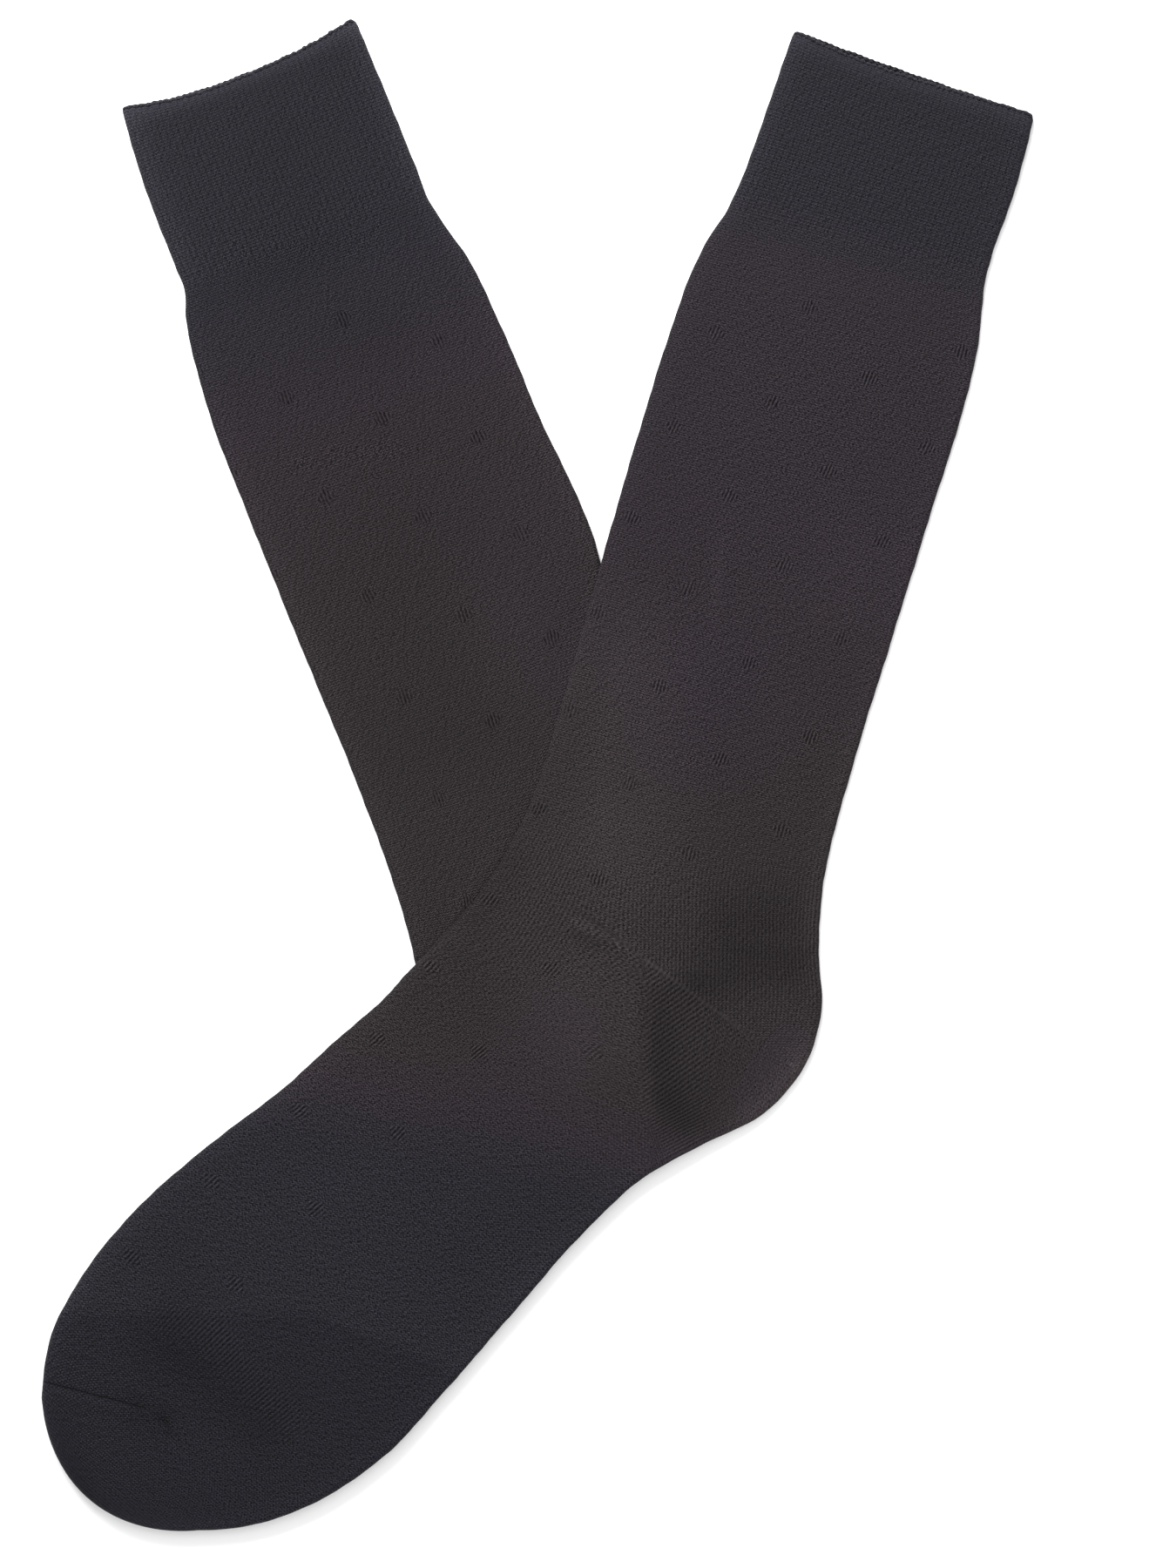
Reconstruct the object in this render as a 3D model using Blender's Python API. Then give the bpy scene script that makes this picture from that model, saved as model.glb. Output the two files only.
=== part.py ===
"""A pair of fine-knit calf socks laid flat, the front one lying across the back one.

Each sock is one knitted tube: a cuff open at its mouth, a leg, a turned heel, a foot and a
closed toe. Laid down, the tube is two layers of cloth joined by a rounded fold along the
instep and along the heel and sole. It is lofted through flattened rings, an outer one and
an inner one, so that the cloth is a real wall with the hollow of the sock inside it.

The tables give the sections in millimetres as the socks lie: the place of a section's
middle, the slant of its line from the instep fold to the heel fold (degrees anticlockwise
from +X), the flat width of the tube, its thickness over both layers, and the wall.
"""

from collections import namedtuple

import bpy
import numpy as np

MM = 0.001
COLLECTION = "pair_of_socks"

# The mesh: how far apart the rings may be along a fold, and the points round each ring.
RING_STEP = 9.0
FLAT_POINTS = 8
FOLD_STEPS = 4
NOSE_STEPS = 5

# The toe closes on the end of an ellipse, from this angle of it to just short of its tip.
NOSE_START = 55.0
NOSE_END = 86.0

# The mouth: the upper layer's rim lies a little down the leg from the lower layer's, and the
# rim passes from one to the other between these shares of the tube's thickness.
MOUTH_LAG = 1.0
LOWER_LAYER_END = 0.3
UPPER_LAYER_START = 0.7

# The drape of the front sock over the back one.
CLEARANCE = 0.3
STILL_LIFTED = 6.0
DRAPE_REACH = 15.0

# Cloth colours, linear RGB, and the surface of mercerised cotton knit.
FRONT_COLOUR = (0.036, 0.032, 0.038, 1.0)
BACK_COLOUR = (0.034, 0.031, 0.035, 1.0)
KNIT_ROUGHNESS = 0.85

Section = namedtuple("Section", "name x y slant width thick wall")
Station = namedtuple("Station", "middle across width thick wall rise")
Sock = namedtuple("Sock", "name sections nose mouth_dip colour")

FRONT_SECTIONS = [
    Section("mouth", 110.0, 205.0, -19.0, 75.0, 3.4, 1.3),
    Section("middle of cuff", 102.2, 180.0, -17.0, 76.6, 3.4, 1.3),
    Section("lower cuff", 95.5, 161.5, -16.0, 77.0, 3.3, 1.3),
    Section("foot of cuff", 93.0, 155.0, -15.0, 78.5, 3.2, 1.2),
    Section("below the cuff", 90.0, 147.5, -14.0, 82.5, 2.8, 1.0),
    Section("top of calf", 87.0, 137.5, -13.0, 86.5, 2.6, 1.0),
    Section("calf", 81.5, 118.5, -13.0, 89.0, 2.6, 1.0),
    Section("middle of calf", 72.5, 89.5, -13.0, 89.0, 2.6, 1.0),
    Section("leg", 61.0, 50.0, -14.5, 87.5, 2.6, 1.0),
    Section("lower leg", 50.0, 13.5, -15.0, 87.0, 2.6, 1.0),
    Section("ankle", 39.5, -23.0, -13.0, 90.0, 2.7, 1.0),
    Section("top of heel", 34.0, -41.0, -12.5, 98.5, 3.0, 1.1),
    Section("back of heel", 30.0, -55.5, -15.0, 109.5, 3.2, 1.2),
    Section("tip of heel", 24.5, -66.5, -19.0, 113.5, 3.4, 1.2),
    Section("under the heel", 16.0, -76.5, -24.0, 110.5, 3.4, 1.2),
    Section("front of heel", 4.0, -84.0, -29.0, 100.5, 3.2, 1.1),
    Section("arch", -8.0, -92.5, -34.5, 92.2, 2.8, 1.0),
    Section("instep", -22.5, -105.5, -39.0, 91.5, 2.6, 1.0),
    Section("middle of foot", -40.5, -124.0, -43.0, 94.0, 2.6, 1.0),
    Section("ball of foot", -64.0, -146.0, -42.0, 100.5, 2.7, 1.0),
    Section("start of toe", -82.5, -164.5, -42.5, 102.5, 3.0, 1.1),
    Section("toe", -99.0, -180.0, -42.5, 95.5, 3.2, 1.2),
    Section("tip of toe", -113.2, -192.4, -42.5, 80.6, 3.2, 1.2),
    Section("end of toe", -122.7, -201.8, -40.5, 59.8, 3.2, 1.2),
]

BACK_SECTIONS = [
    Section("mouth", -87.8, 207.6, 22.0, 73.5, 3.4, 1.3),
    Section("middle of cuff", -79.0, 183.0, 22.0, 76.0, 3.4, 1.3),
    Section("lower cuff", -70.8, 162.5, 21.5, 76.2, 3.3, 1.3),
    Section("foot of cuff", -68.2, 155.5, 21.0, 76.2, 3.2, 1.2),
    Section("below the cuff", -65.5, 147.5, 20.0, 80.5, 2.8, 1.0),
    Section("top of calf", -61.5, 138.5, 19.0, 85.0, 2.6, 1.0),
    Section("calf", -54.0, 119.0, 19.0, 89.0, 2.6, 1.0),
    Section("middle of calf", -42.5, 90.5, 20.0, 90.0, 2.6, 1.0),
    Section("leg", -26.5, 51.5, 21.0, 90.5, 2.6, 1.0),
    Section("lower leg", -15.0, 13.5, 20.0, 83.0, 2.6, 1.0),
    Section("ankle", -4.5, -24.5, 15.0, 77.0, 2.6, 1.0),
    Section("top of heel", -1.0, -50.0, 8.0, 71.0, 2.6, 1.0),
    Section("heel", -0.5, -70.5, -6.0, 69.0, 2.6, 1.0),
    Section("front of heel", -3.0, -89.0, -19.0, 74.0, 2.6, 1.0),
    Section("arch", -12.0, -102.0, -27.0, 75.5, 2.6, 1.0),
    Section("instep", -24.5, -114.5, -32.0, 77.0, 2.6, 1.0),
    Section("middle of foot", -42.5, -129.0, -37.0, 81.0, 2.6, 1.0),
    Section("ball of foot", -63.5, -147.0, -41.0, 88.5, 2.6, 1.0),
    Section("start of toe", -82.0, -164.0, -43.0, 90.5, 2.6, 1.0),
    Section("toe", -98.5, -178.5, -43.5, 84.0, 2.6, 1.0),
    Section("tip of toe", -111.5, -190.5, -42.5, 70.0, 2.6, 1.0),
    Section("end of toe", -122.0, -199.0, -44.5, 50.0, 2.6, 1.0),
]

# nose: how far the toe reaches past its last section. mouth_dip: how far the middle of the
# mouth's rim lies down the leg from a straight line between its corners.
FRONT = Sock("sock_front", FRONT_SECTIONS, nose=13.5, mouth_dip=-0.2, colour=FRONT_COLOUR)
BACK = Sock("sock_back", BACK_SECTIONS, nose=9.0, mouth_dip=3.0, colour=BACK_COLOUR)


def clear_scene():
    """Remove every object, so that the script can be run again in an open file."""
    for obj in list(bpy.data.objects):
        bpy.data.objects.remove(obj, do_unlink=True)


def smooth_through(places, values, wanted):
    """Cubic curves through rows of values at uneven places, read at the wanted places.

    The slope at a row is the mean of the slopes to its two neighbours, each weighted by
    the length of the other side.
    """
    run = np.diff(places)[:, None]
    rise = np.diff(values, axis=0) / run
    slope = np.empty_like(values)
    slope[1:-1] = (rise[:-1] * run[1:] + rise[1:] * run[:-1]) / (run[:-1] + run[1:])
    slope[0] = 1.5 * rise[0] - 0.5 * slope[1]
    slope[-1] = 1.5 * rise[-1] - 0.5 * slope[-2]
    at = np.clip(np.searchsorted(places, wanted, side="right") - 1, 0, len(run) - 1)
    part = ((wanted - places[at]) / run[at, 0])[:, None]
    start = (1 + 2 * part) * (1 - part) ** 2 * values[at]
    end = part**2 * (3 - 2 * part) * values[at + 1]
    leave = part * (1 - part) ** 2 * run[at] * slope[at]
    arrive = part**2 * (part - 1) * run[at] * slope[at + 1]
    return start + end + leave + arrive


def directions(slants):
    """Unit vectors that point from the instep fold to the heel fold."""
    angle = np.radians(slants)
    return np.stack([np.cos(angle), np.sin(angle)], axis=-1)


def onward(across):
    """The direction down the sock, a quarter turn clockwise from its line across."""
    return np.array([across[1], -across[0]])


def body_stations(sections):
    """Rings from the mouth to the last section, closest where a fold curves."""
    numbers = np.array([row[1:] for row in sections], float)
    middle, slant, width = numbers[:, :2], numbers[:, 2], numbers[:, 3]
    half = directions(slant) * width[:, None] / 2
    folds = np.hstack([middle - half, middle + half])
    moved = np.diff(folds, axis=0)
    steps = np.maximum(np.hypot(*moved.T[:2]), np.hypot(*moved.T[2:]))
    places = np.concatenate([[0.0], np.cumsum(steps)])
    counts = np.ceil(steps / RING_STEP).astype(int)
    spans = zip(places[:-1], places[1:], counts)
    wanted = np.concatenate([*(np.linspace(a, b, n, endpoint=False) for a, b, n in spans), places[-1:]])
    folds = smooth_through(places, folds, wanted)
    cloth = smooth_through(places, numbers[:, 4:], wanted)
    across = folds[:, 2:] - folds[:, :2]
    width = np.hypot(*across.T)
    middle = (folds[:, 2:] + folds[:, :2]) / 2
    level = np.zeros(len(wanted))
    return Station(middle, across / width[:, None], width, cloth[:, 0], cloth[:, 1], level)


def nose_stations(last, length, inset):
    """Rings past the last section, on the end of an ellipse, whose thickness rounds off too."""
    first, *others = np.radians(np.linspace(NOSE_START, NOSE_END, NOSE_STEPS + 1))
    reach = (length - inset) * (np.sin(others) - np.sin(first)) / (1 - np.sin(first))
    narrowing = np.cos(others) / np.cos(first)
    middle = last.middle + reach[:, None] * onward(last.across)
    round_off = last.thick / 2 - inset
    to_tip = length - inset - reach
    share = np.sqrt(1 - np.clip((round_off - to_tip) / round_off, 0, 1) ** 2)
    width = inset * 2 + (last.width - inset * 2) * narrowing
    thick = inset * 2 + round_off * 2 * share
    across = np.repeat(last.across[None], NOSE_STEPS, axis=0)
    wall = np.full(NOSE_STEPS, last.wall)
    return Station(middle, across, width, thick, wall, (last.thick - thick) / 2)


def stations_of(sock, inner):
    """All the rings of one surface of a sock, outer or inner."""
    body = body_stations(sock.sections)
    last = Station(*(values[-1] for values in body))
    tip = nose_stations(last, sock.nose, last.wall if inner else 0.0)
    return Station(*(np.concatenate(pair) for pair in zip(body, tip)))


def flattened_ring(width, thick):
    """Distance across and height of the points of a flattened tube with round folds."""
    radius = min(thick, width) / 2
    flat = width / 2 - radius
    turn = np.radians(np.linspace(-90, 90, FOLD_STEPS + 1))
    fold = np.stack([flat + radius * np.cos(turn), radius * np.sin(turn)], axis=1)
    line = np.linspace(flat, -flat, FLAT_POINTS + 2)[1:-1]
    layer = np.stack([line, np.full(FLAT_POINTS, radius)], axis=1)
    ring = np.concatenate([fold, layer, -fold, -layer])
    ring[:, 1] += thick / 2
    return ring


def mouth_shift(stations, ring, dip):
    """How far down the leg each point of the mouth's ring lies from a straight line across."""
    height = ring[:, 2] / stations.thick[0]
    upper = np.interp(height, [LOWER_LAYER_END, UPPER_LAYER_START], [0, 1])
    to_edge = (ring[:, :2] - stations.middle[0]) @ stations.across[0] * 2 / stations.width[0]
    return MOUTH_LAG * upper + dip * (1 - to_edge**2)


def surface(sock, inner, support):
    """Points of one surface of the sock: rings x points x 3, laid on what is under it."""
    stations = stations_of(sock, inner)
    rings = []
    for middle, across, width, thick, wall, rise in zip(*stations):
        inset = wall if inner else 0.0
        ring = flattened_ring(width - 2 * inset, thick - 2 * inset)
        flat = middle + ring[:, :1] * across
        rings.append(np.column_stack([flat, ring[:, 1] + inset + rise]))
    points = np.array(rings)
    shift = mouth_shift(stations, points[0], sock.mouth_dip)
    points[0, :, :2] += shift[:, None] * onward(stations.across[0])
    points[..., 2] += support(points[..., :2].reshape(-1, 2)).reshape(points.shape[:2])
    return points


def outline_of(sock):
    """The flat outline of a sock as it lies, down the instep side and back up the heel side."""
    rings = stations_of(sock, inner=False)
    half = rings.across * rings.width[:, None] / 2
    return np.concatenate([rings.middle - half, (rings.middle + half)[::-1]])


def distance_outside(points, outline):
    """How far each point lies outside a closed outline, 0 for a point inside it."""
    start, end = outline, np.roll(outline, -1, axis=0)
    side = end - start
    offset = points[:, None] - start
    share = np.clip((offset * side).sum(-1) / (side * side).sum(-1), 0, 1)
    away = np.linalg.norm(offset - share[..., None] * side, axis=-1).min(axis=1)
    straddles = (start[:, 1] > points[:, 1:]) != (end[:, 1] > points[:, 1:])
    rise = np.where(side[:, 1] == 0, 1.0, side[:, 1])
    meets = start[:, 0] + (points[:, 1:] - start[:, 1]) / rise * side[:, 0]
    crossings = (straddles & (points[:, :1] < meets)).sum(axis=1)
    return np.where(crossings % 2 == 1, 0.0, away)


def on_floor(points):
    return np.zeros(len(points))


def over_back_sock(points):
    """Height of the front sock's underside: on the back sock, then sloping to the floor."""
    lifted = BACK.sections[-1].thick + CLEARANCE
    away = distance_outside(points, outline_of(BACK))
    part = np.clip((away - STILL_LIFTED) / DRAPE_REACH, 0, 1)
    return lifted * (1 - part**2 * (3 - 2 * part))


def tube_faces(rings, around, first, flip):
    """Quads of a lofted tube whose points start at the index first, with its end closed."""
    grid = first + np.arange(rings * around).reshape(rings, around)
    beside = np.roll(grid, -1, axis=1)
    quads = np.stack([grid[:-1], beside[:-1], beside[1:], grid[1:]], axis=-1).reshape(-1, 4)
    faces = [tuple(face) for face in quads.tolist()] + [tuple(grid[-1].tolist())]
    return [face[::-1] for face in faces] if flip else faces


def mouth_faces(around, inner_first):
    """Quads of the rim between the first outer ring and the first inner ring."""
    outer = np.arange(around)
    inner = outer + inner_first
    rim = np.stack([np.roll(outer, -1), outer, inner, np.roll(inner, -1)], axis=-1)
    return [tuple(face) for face in rim.tolist()]


def knit_material(name, colour):
    material = bpy.data.materials.new(name)
    material.use_nodes = True
    shader = material.node_tree.nodes["Principled BSDF"]
    shader.inputs["Base Color"].default_value = colour
    shader.inputs["Roughness"].default_value = KNIT_ROUGHNESS
    shader.inputs["Metallic"].default_value = 0.0
    material.diffuse_color = colour
    return material


def make_sock(sock, support, collection):
    """One sock: the outer and inner surfaces of the knitted tube, joined at the mouth."""
    outer = surface(sock, False, support)
    inner = surface(sock, True, support)
    rings, around = outer.shape[:2]
    points = np.concatenate([outer.reshape(-1, 3), inner.reshape(-1, 3)]) * MM
    faces = tube_faces(rings, around, 0, flip=False)
    faces += tube_faces(rings, around, rings * around, flip=True)
    faces += mouth_faces(around, rings * around)
    mesh = bpy.data.meshes.new(sock.name)
    mesh.from_pydata(points.tolist(), [], faces)
    mesh.materials.append(knit_material(sock.name + "_knit", sock.colour))
    mesh.shade_smooth()
    obj = bpy.data.objects.new(sock.name, mesh)
    collection.objects.link(obj)
    return obj


def main():
    clear_scene()
    collection = bpy.data.collections.new(COLLECTION)
    bpy.context.scene.collection.children.link(collection)
    make_sock(BACK, on_floor, collection)
    make_sock(FRONT, over_back_sock, collection)


main()
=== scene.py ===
"""The looks of a pair of fine-knit calf socks that lie flat, the front one across the back one.

Each sock is one thin closed shell. Flattened rings run from the mouth to the tip of the toe,
an outer set and an inner set, and folds, creases and the lie of one sock on the other are
added to their heights. A UV map counts the stitches, wales round the sock and courses down
it, so that the knit turns at the heel as a knitted heel does. The rolled edge of each cuff is
a piece of its own. The linked seam of the toe and the gore line of the heel are drawn by the
yarn's material, over low ridges and troughs of the shell. The light and shade of the folds,
creases, drapes and the heel pocket are partly painted into the yarn's colour.

The tables are in millimetres: +X right, +Y towards the cuffs, +Z up from the surface.
"""

from collections import namedtuple
from functools import partial

import bpy
import numpy as np
from bpy.props import FloatProperty, FloatVectorProperty, IntProperty, PointerProperty
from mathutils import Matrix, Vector


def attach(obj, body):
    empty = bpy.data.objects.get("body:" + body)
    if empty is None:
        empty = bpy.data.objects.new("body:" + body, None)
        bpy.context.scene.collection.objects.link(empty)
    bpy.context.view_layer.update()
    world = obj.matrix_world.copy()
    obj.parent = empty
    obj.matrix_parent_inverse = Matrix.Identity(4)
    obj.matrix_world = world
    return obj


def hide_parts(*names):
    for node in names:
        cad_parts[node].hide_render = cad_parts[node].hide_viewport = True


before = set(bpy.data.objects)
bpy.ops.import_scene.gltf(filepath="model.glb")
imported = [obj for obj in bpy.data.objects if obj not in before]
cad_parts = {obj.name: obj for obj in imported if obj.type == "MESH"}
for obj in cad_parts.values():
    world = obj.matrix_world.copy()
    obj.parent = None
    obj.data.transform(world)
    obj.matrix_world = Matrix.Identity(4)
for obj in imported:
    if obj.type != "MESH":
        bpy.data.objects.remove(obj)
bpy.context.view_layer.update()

bl_info = {
    "name": "Pair of fine-knit socks",
    "version": (1, 0, 0),
    "blender": (4, 5, 0),
    "location": "3D View > Sidebar > Socks",
    "description": "Builds a pair of fine-knit calf socks laid flat, on a plain stage",
    "category": "Mesh",
}

MM = 0.001

# --- The cut --------------------------------------------------------------------------------

# A section lies across a sock from its instep fold to its heel fold: its middle, its slant in
# degrees, its width and thickness, and the wall of the cloth. The sections are the part's own,
# but those named leg are up to 0.9 mm wider and half a mm further over, so that the point of
# the V sits right.
Section = namedtuple("Section", "name x y slant width thick wall")

FRONT_SECTIONS = [
    Section("mouth", 110.0, 205.0, -19.0, 75.0, 3.4, 1.3),
    Section("middle of cuff", 102.2, 180.0, -17.0, 76.6, 3.4, 1.3),
    Section("lower cuff", 95.5, 161.5, -16.0, 77.0, 3.3, 1.3),
    Section("foot of cuff", 93.0, 155.0, -15.0, 78.5, 3.2, 1.2),
    Section("below the cuff", 90.0, 147.5, -14.0, 82.5, 2.8, 1.0),
    Section("top of calf", 87.0, 137.5, -13.0, 86.5, 2.6, 1.0),
    Section("calf", 81.5, 118.5, -13.0, 89.0, 2.6, 1.0),
    Section("middle of calf", 72.5, 89.5, -13.0, 89.0, 2.6, 1.0),
    Section("leg", 60.7, 50.1, -14.5, 88.1, 2.6, 1.0),
    Section("lower leg", 50.0, 13.5, -15.0, 87.0, 2.6, 1.0),
    Section("ankle", 39.5, -23.0, -13.0, 90.0, 2.7, 1.0),
    Section("top of heel", 34.0, -41.0, -12.5, 98.5, 3.0, 1.1),
    Section("back of heel", 30.0, -55.5, -15.0, 109.5, 3.2, 1.2),
    Section("tip of heel", 24.5, -66.5, -19.0, 113.5, 3.4, 1.2),
    Section("under the heel", 16.0, -76.5, -24.0, 110.5, 3.4, 1.2),
    Section("front of heel", 4.0, -84.0, -29.0, 100.5, 3.2, 1.1),
    Section("arch", -8.0, -92.5, -34.5, 92.2, 2.8, 1.0),
    Section("instep", -22.5, -105.5, -39.0, 91.5, 2.6, 1.0),
    Section("middle of foot", -40.5, -124.0, -43.0, 94.0, 2.6, 1.0),
    Section("ball of foot", -64.0, -146.0, -42.0, 100.5, 2.7, 1.0),
    Section("start of toe", -82.5, -164.5, -42.5, 102.5, 3.0, 1.1),
    Section("toe", -99.0, -180.0, -42.5, 95.5, 3.2, 1.2),
    Section("tip of toe", -113.2, -192.4, -42.5, 80.6, 3.2, 1.2),
    Section("end of toe", -122.7, -201.8, -40.5, 59.8, 3.2, 1.2),
]

BACK_SECTIONS = [
    Section("mouth", -87.8, 207.6, 22.0, 73.5, 3.4, 1.3),
    Section("middle of cuff", -79.0, 183.0, 22.0, 76.0, 3.4, 1.3),
    Section("lower cuff", -70.8, 162.5, 21.5, 76.2, 3.3, 1.3),
    Section("foot of cuff", -68.2, 155.5, 21.0, 76.2, 3.2, 1.2),
    Section("below the cuff", -65.5, 147.5, 20.0, 80.5, 2.8, 1.0),
    Section("top of calf", -61.5, 138.5, 19.0, 85.0, 2.6, 1.0),
    Section("calf", -54.0, 119.0, 19.0, 89.0, 2.6, 1.0),
    Section("middle of calf", -42.5, 90.5, 20.0, 90.0, 2.6, 1.0),
    Section("leg", -26.1, 51.7, 21.0, 91.4, 2.6, 1.0),
    Section("lower leg", -15.0, 13.5, 20.0, 83.0, 2.6, 1.0),
    Section("ankle", -4.5, -24.5, 15.0, 77.0, 2.6, 1.0),
    Section("top of heel", -1.0, -50.0, 8.0, 71.0, 2.6, 1.0),
    Section("heel", -0.5, -70.5, -6.0, 69.0, 2.6, 1.0),
    Section("front of heel", -3.0, -89.0, -19.0, 74.0, 2.6, 1.0),
    Section("arch", -12.0, -102.0, -27.0, 75.5, 2.6, 1.0),
    Section("instep", -24.5, -114.5, -32.0, 77.0, 2.6, 1.0),
    Section("middle of foot", -42.5, -129.0, -37.0, 81.0, 2.6, 1.0),
    Section("ball of foot", -63.5, -147.0, -41.0, 88.5, 2.6, 1.0),
    Section("start of toe", -82.0, -164.0, -43.0, 90.5, 2.6, 1.0),
    Section("toe", -98.5, -178.5, -43.5, 84.0, 2.6, 1.0),
    Section("tip of toe", -111.5, -190.5, -42.5, 70.0, 2.6, 1.0),
    Section("end of toe", -122.0, -199.0, -44.5, 50.0, 2.6, 1.0),
]

# The gore line of the turned heel: where it starts, its own direction, and the directions of
# the wales on its leg side and its foot side, in degrees. back is the x of the back of the
# heel, level with the gore's start. From there the wales lie pitch mm apart, ease into the
# heel fold over ease mm, and straighten out over fade mm past the tip of the heel.
Heel = namedtuple("Heel", "x y gore leg foot back pitch ease fade")

# A mouth: how far down the sock its rim lies, how much further its middle dips, where that
# middle is as a share of the way across, and how far the upper rim lies back, in mm. light is
# how much lighter the cloth looks there, as a share. corners are the radii of its corners, at
# the instep fold and at the heel fold.
Mouth = namedtuple("Mouth", "ends dip middle lag light corners")

# A sock: its piece's name, the node that it stands for, its slot, its sections, and how far
# the toe reaches past the last one. drawn_out is how far the leg is stretched lengthwise, as a
# share, and twist by how many wales it turns from the cuff to the calf. spot_start is the wale
# and the course that the spots start from. Their rows slope by rise courses to a wale, and in
# the foot their columns lie drift wales further on. Then come its tables, said with each.
Sock = namedtuple(
    "Sock",
    "name node slot sections nose mouth drawn_out twist rise drift spot_start heel"
    " fold relief light stretch warmth tint",
)

# Painted light and shade along the folds, a painted highlight for the sheen at a fold's edge:
# how much lighter the cloth is painted along the instep fold and along the heel fold, as
# shares, and how much of the painted shade of the turn under the instep fold shows, for it can
# lie close on the back sock.
FRONT_PAINTED_FOLD_SHADING = {
    "mouth": (0.22, 0.30, 1.0),
    "foot of cuff": (0.20, 0.32, 1.0),
    "calf": (0.10, 0.24, 1.0),
    "leg": (0.02, 0.28, 0.3),
    "lower leg": (0.04, 0.34, 0.0),
    "ankle": (-0.08, 0.38, 0.1),
    "top of heel": (-0.04, 0.36, 0.4),
    "back of heel": (-0.06, -0.02, 1.0),
    "tip of heel": (-0.02, 0.84, 1.0),
    "under the heel": (0.02, 0.92, 1.0),
    "front of heel": (0.06, 0.38, 1.0),
    "arch": (0.06, 0.34, 1.0),
    "instep": (-0.08, 0.30, 1.0),
    "middle of foot": (0.13, 0.38, 1.0),
    "start of toe": (0.12, 0.36, 1.0),
    "tip of toe": (0.26, 0.40, 1.0),
    "end of toe": (0.20, 0.45, 1.0),
}
BACK_PAINTED_FOLD_SHADING = {
    "mouth": (0.36, 0.36, 1.0),
    "foot of cuff": (0.16, 0.30, 1.0),
    "calf": (0.20, 0.20, 1.0),
    "leg": (0.26, 0.20, 1.0),
    "ankle": (0.18, 0.20, 1.0),
    "end of toe": (0.28, 0.28, 1.0),
}

# --- Relief: soft ridges (+) and troughs (-) of the cloth -----------------------------------

# A line from one end to the other, its height in mm, how far it falls off on the left and on
# the right of that direction, and the share of its length over which each end fades.
Line = namedtuple("Line", "name x0 y0 x1 y1 height left right fade")

FRONT_RELIEF = [
    Line("bend of the ankle", 5.0, -41.5, 31.0, -54.0, 0.36, 3.0, 1.3, 0.4),
    Line("below the bend", 9.0, -45.5, 28.0, -56.0, -0.20, 1.2, 5.0, 0.45),
    Line("gore ridge", 31.5, -54.0, 66.0, -79.5, 0.24, 1.4, 1.0, 0.25),
    Line("fold into the heel", 31.0, -54.5, 84.0, -46.0, -0.75, 11.0, 4.5, 0.2),
    Line("edge of the heel pocket", 28.7, -56.0, 29.3, -94.0, 0.30, 3.0, 4.0, 0.3),
    Line("hollow of the heel pocket", 35.0, -62.0, 37.0, -98.0, -0.55, 9.0, 4.0, 0.35),
    Line("turn of the hollow", 34.0, -90.0, 49.0, -111.0, -0.35, 5.0, 3.0, 0.4),
    Line("crown of the heel", 58.0, -72.0, 44.0, -96.0, 0.35, 9.0, 9.0, 0.4),
    Line("drape at the shin", 55.5, 77.0, 51.0, 34.0, 0.28, 3.0, 1.6, 0.4),
    Line("drape at the calf", 26.0, 46.0, 19.0, -18.0, 0.25, 5.0, 3.0, 0.4),
    Line("ridge above the bend", 19.0, -5.0, 23.5, -38.0, 0.35, 2.5, 2.0, 0.4),
    Line("pull across the instep", -24.0, -52.0, 6.0, -70.0, 0.18, 5.0, 4.0, 0.45),
    Line("slack of the sole", -6.0, -113.0, -38.0, -146.0, 0.15, 7.0, 5.0, 0.45),
    Line("seam pucker", -147.0, -177.5, -113.0, -185.6, -0.28, 0.9, 1.1, 0.12),
    Line("below the seam", -146.0, -180.0, -113.0, -188.0, 0.14, 1.5, 2.5, 0.3),
    Line("dimple at the seam's end", -110.5, -187.5, -107.0, -191.6, -0.24, 1.1, 1.3, 0.45),
    Line("toe gather", -104.0, -187.0, -84.0, -199.0, -0.22, 4.0, 4.0, 0.45),
]

BACK_RELIEF = [
    Line("slack of the calf", -42.0, 88.0, -30.0, 99.0, -0.20, 1.6, 3.0, 0.45),
    Line("pull of the leg", -62.0, 118.0, -34.0, 46.0, 0.16, 9.0, 9.0, 0.45),
    Line("press beside the front sock", 15.0, 54.0, -34.0, -56.0, -0.12, 3.0, 9.0, 0.1),
]

# The undersides lie on the surface, so their creases only rise from it.
HIDDEN_RELIEF = [
    Line("hidden bend of the ankle", 7.0, -41.0, 31.0, -53.8, 0.30, 3.0, 2.0, 0.35),
    Line("hidden gore", 30.0, -53.3, 66.0, -79.5, 0.22, 1.2, 1.2, 0.25),
    Line("hidden heel pocket", 33.5, -58.0, 37.0, -104.0, 0.35, 2.5, 6.0, 0.25),
    Line("hidden drape", 58.0, 92.0, 51.0, 24.0, 0.20, 2.5, 2.5, 0.4),
    Line("hidden seam pucker", -147.0, -177.5, -113.0, -185.6, 0.30, 1.0, 1.0, 0.15),
    Line("hidden pull of the leg", -60.0, 112.0, -36.0, 50.0, 0.20, 4.0, 4.0, 0.4),
]
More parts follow.
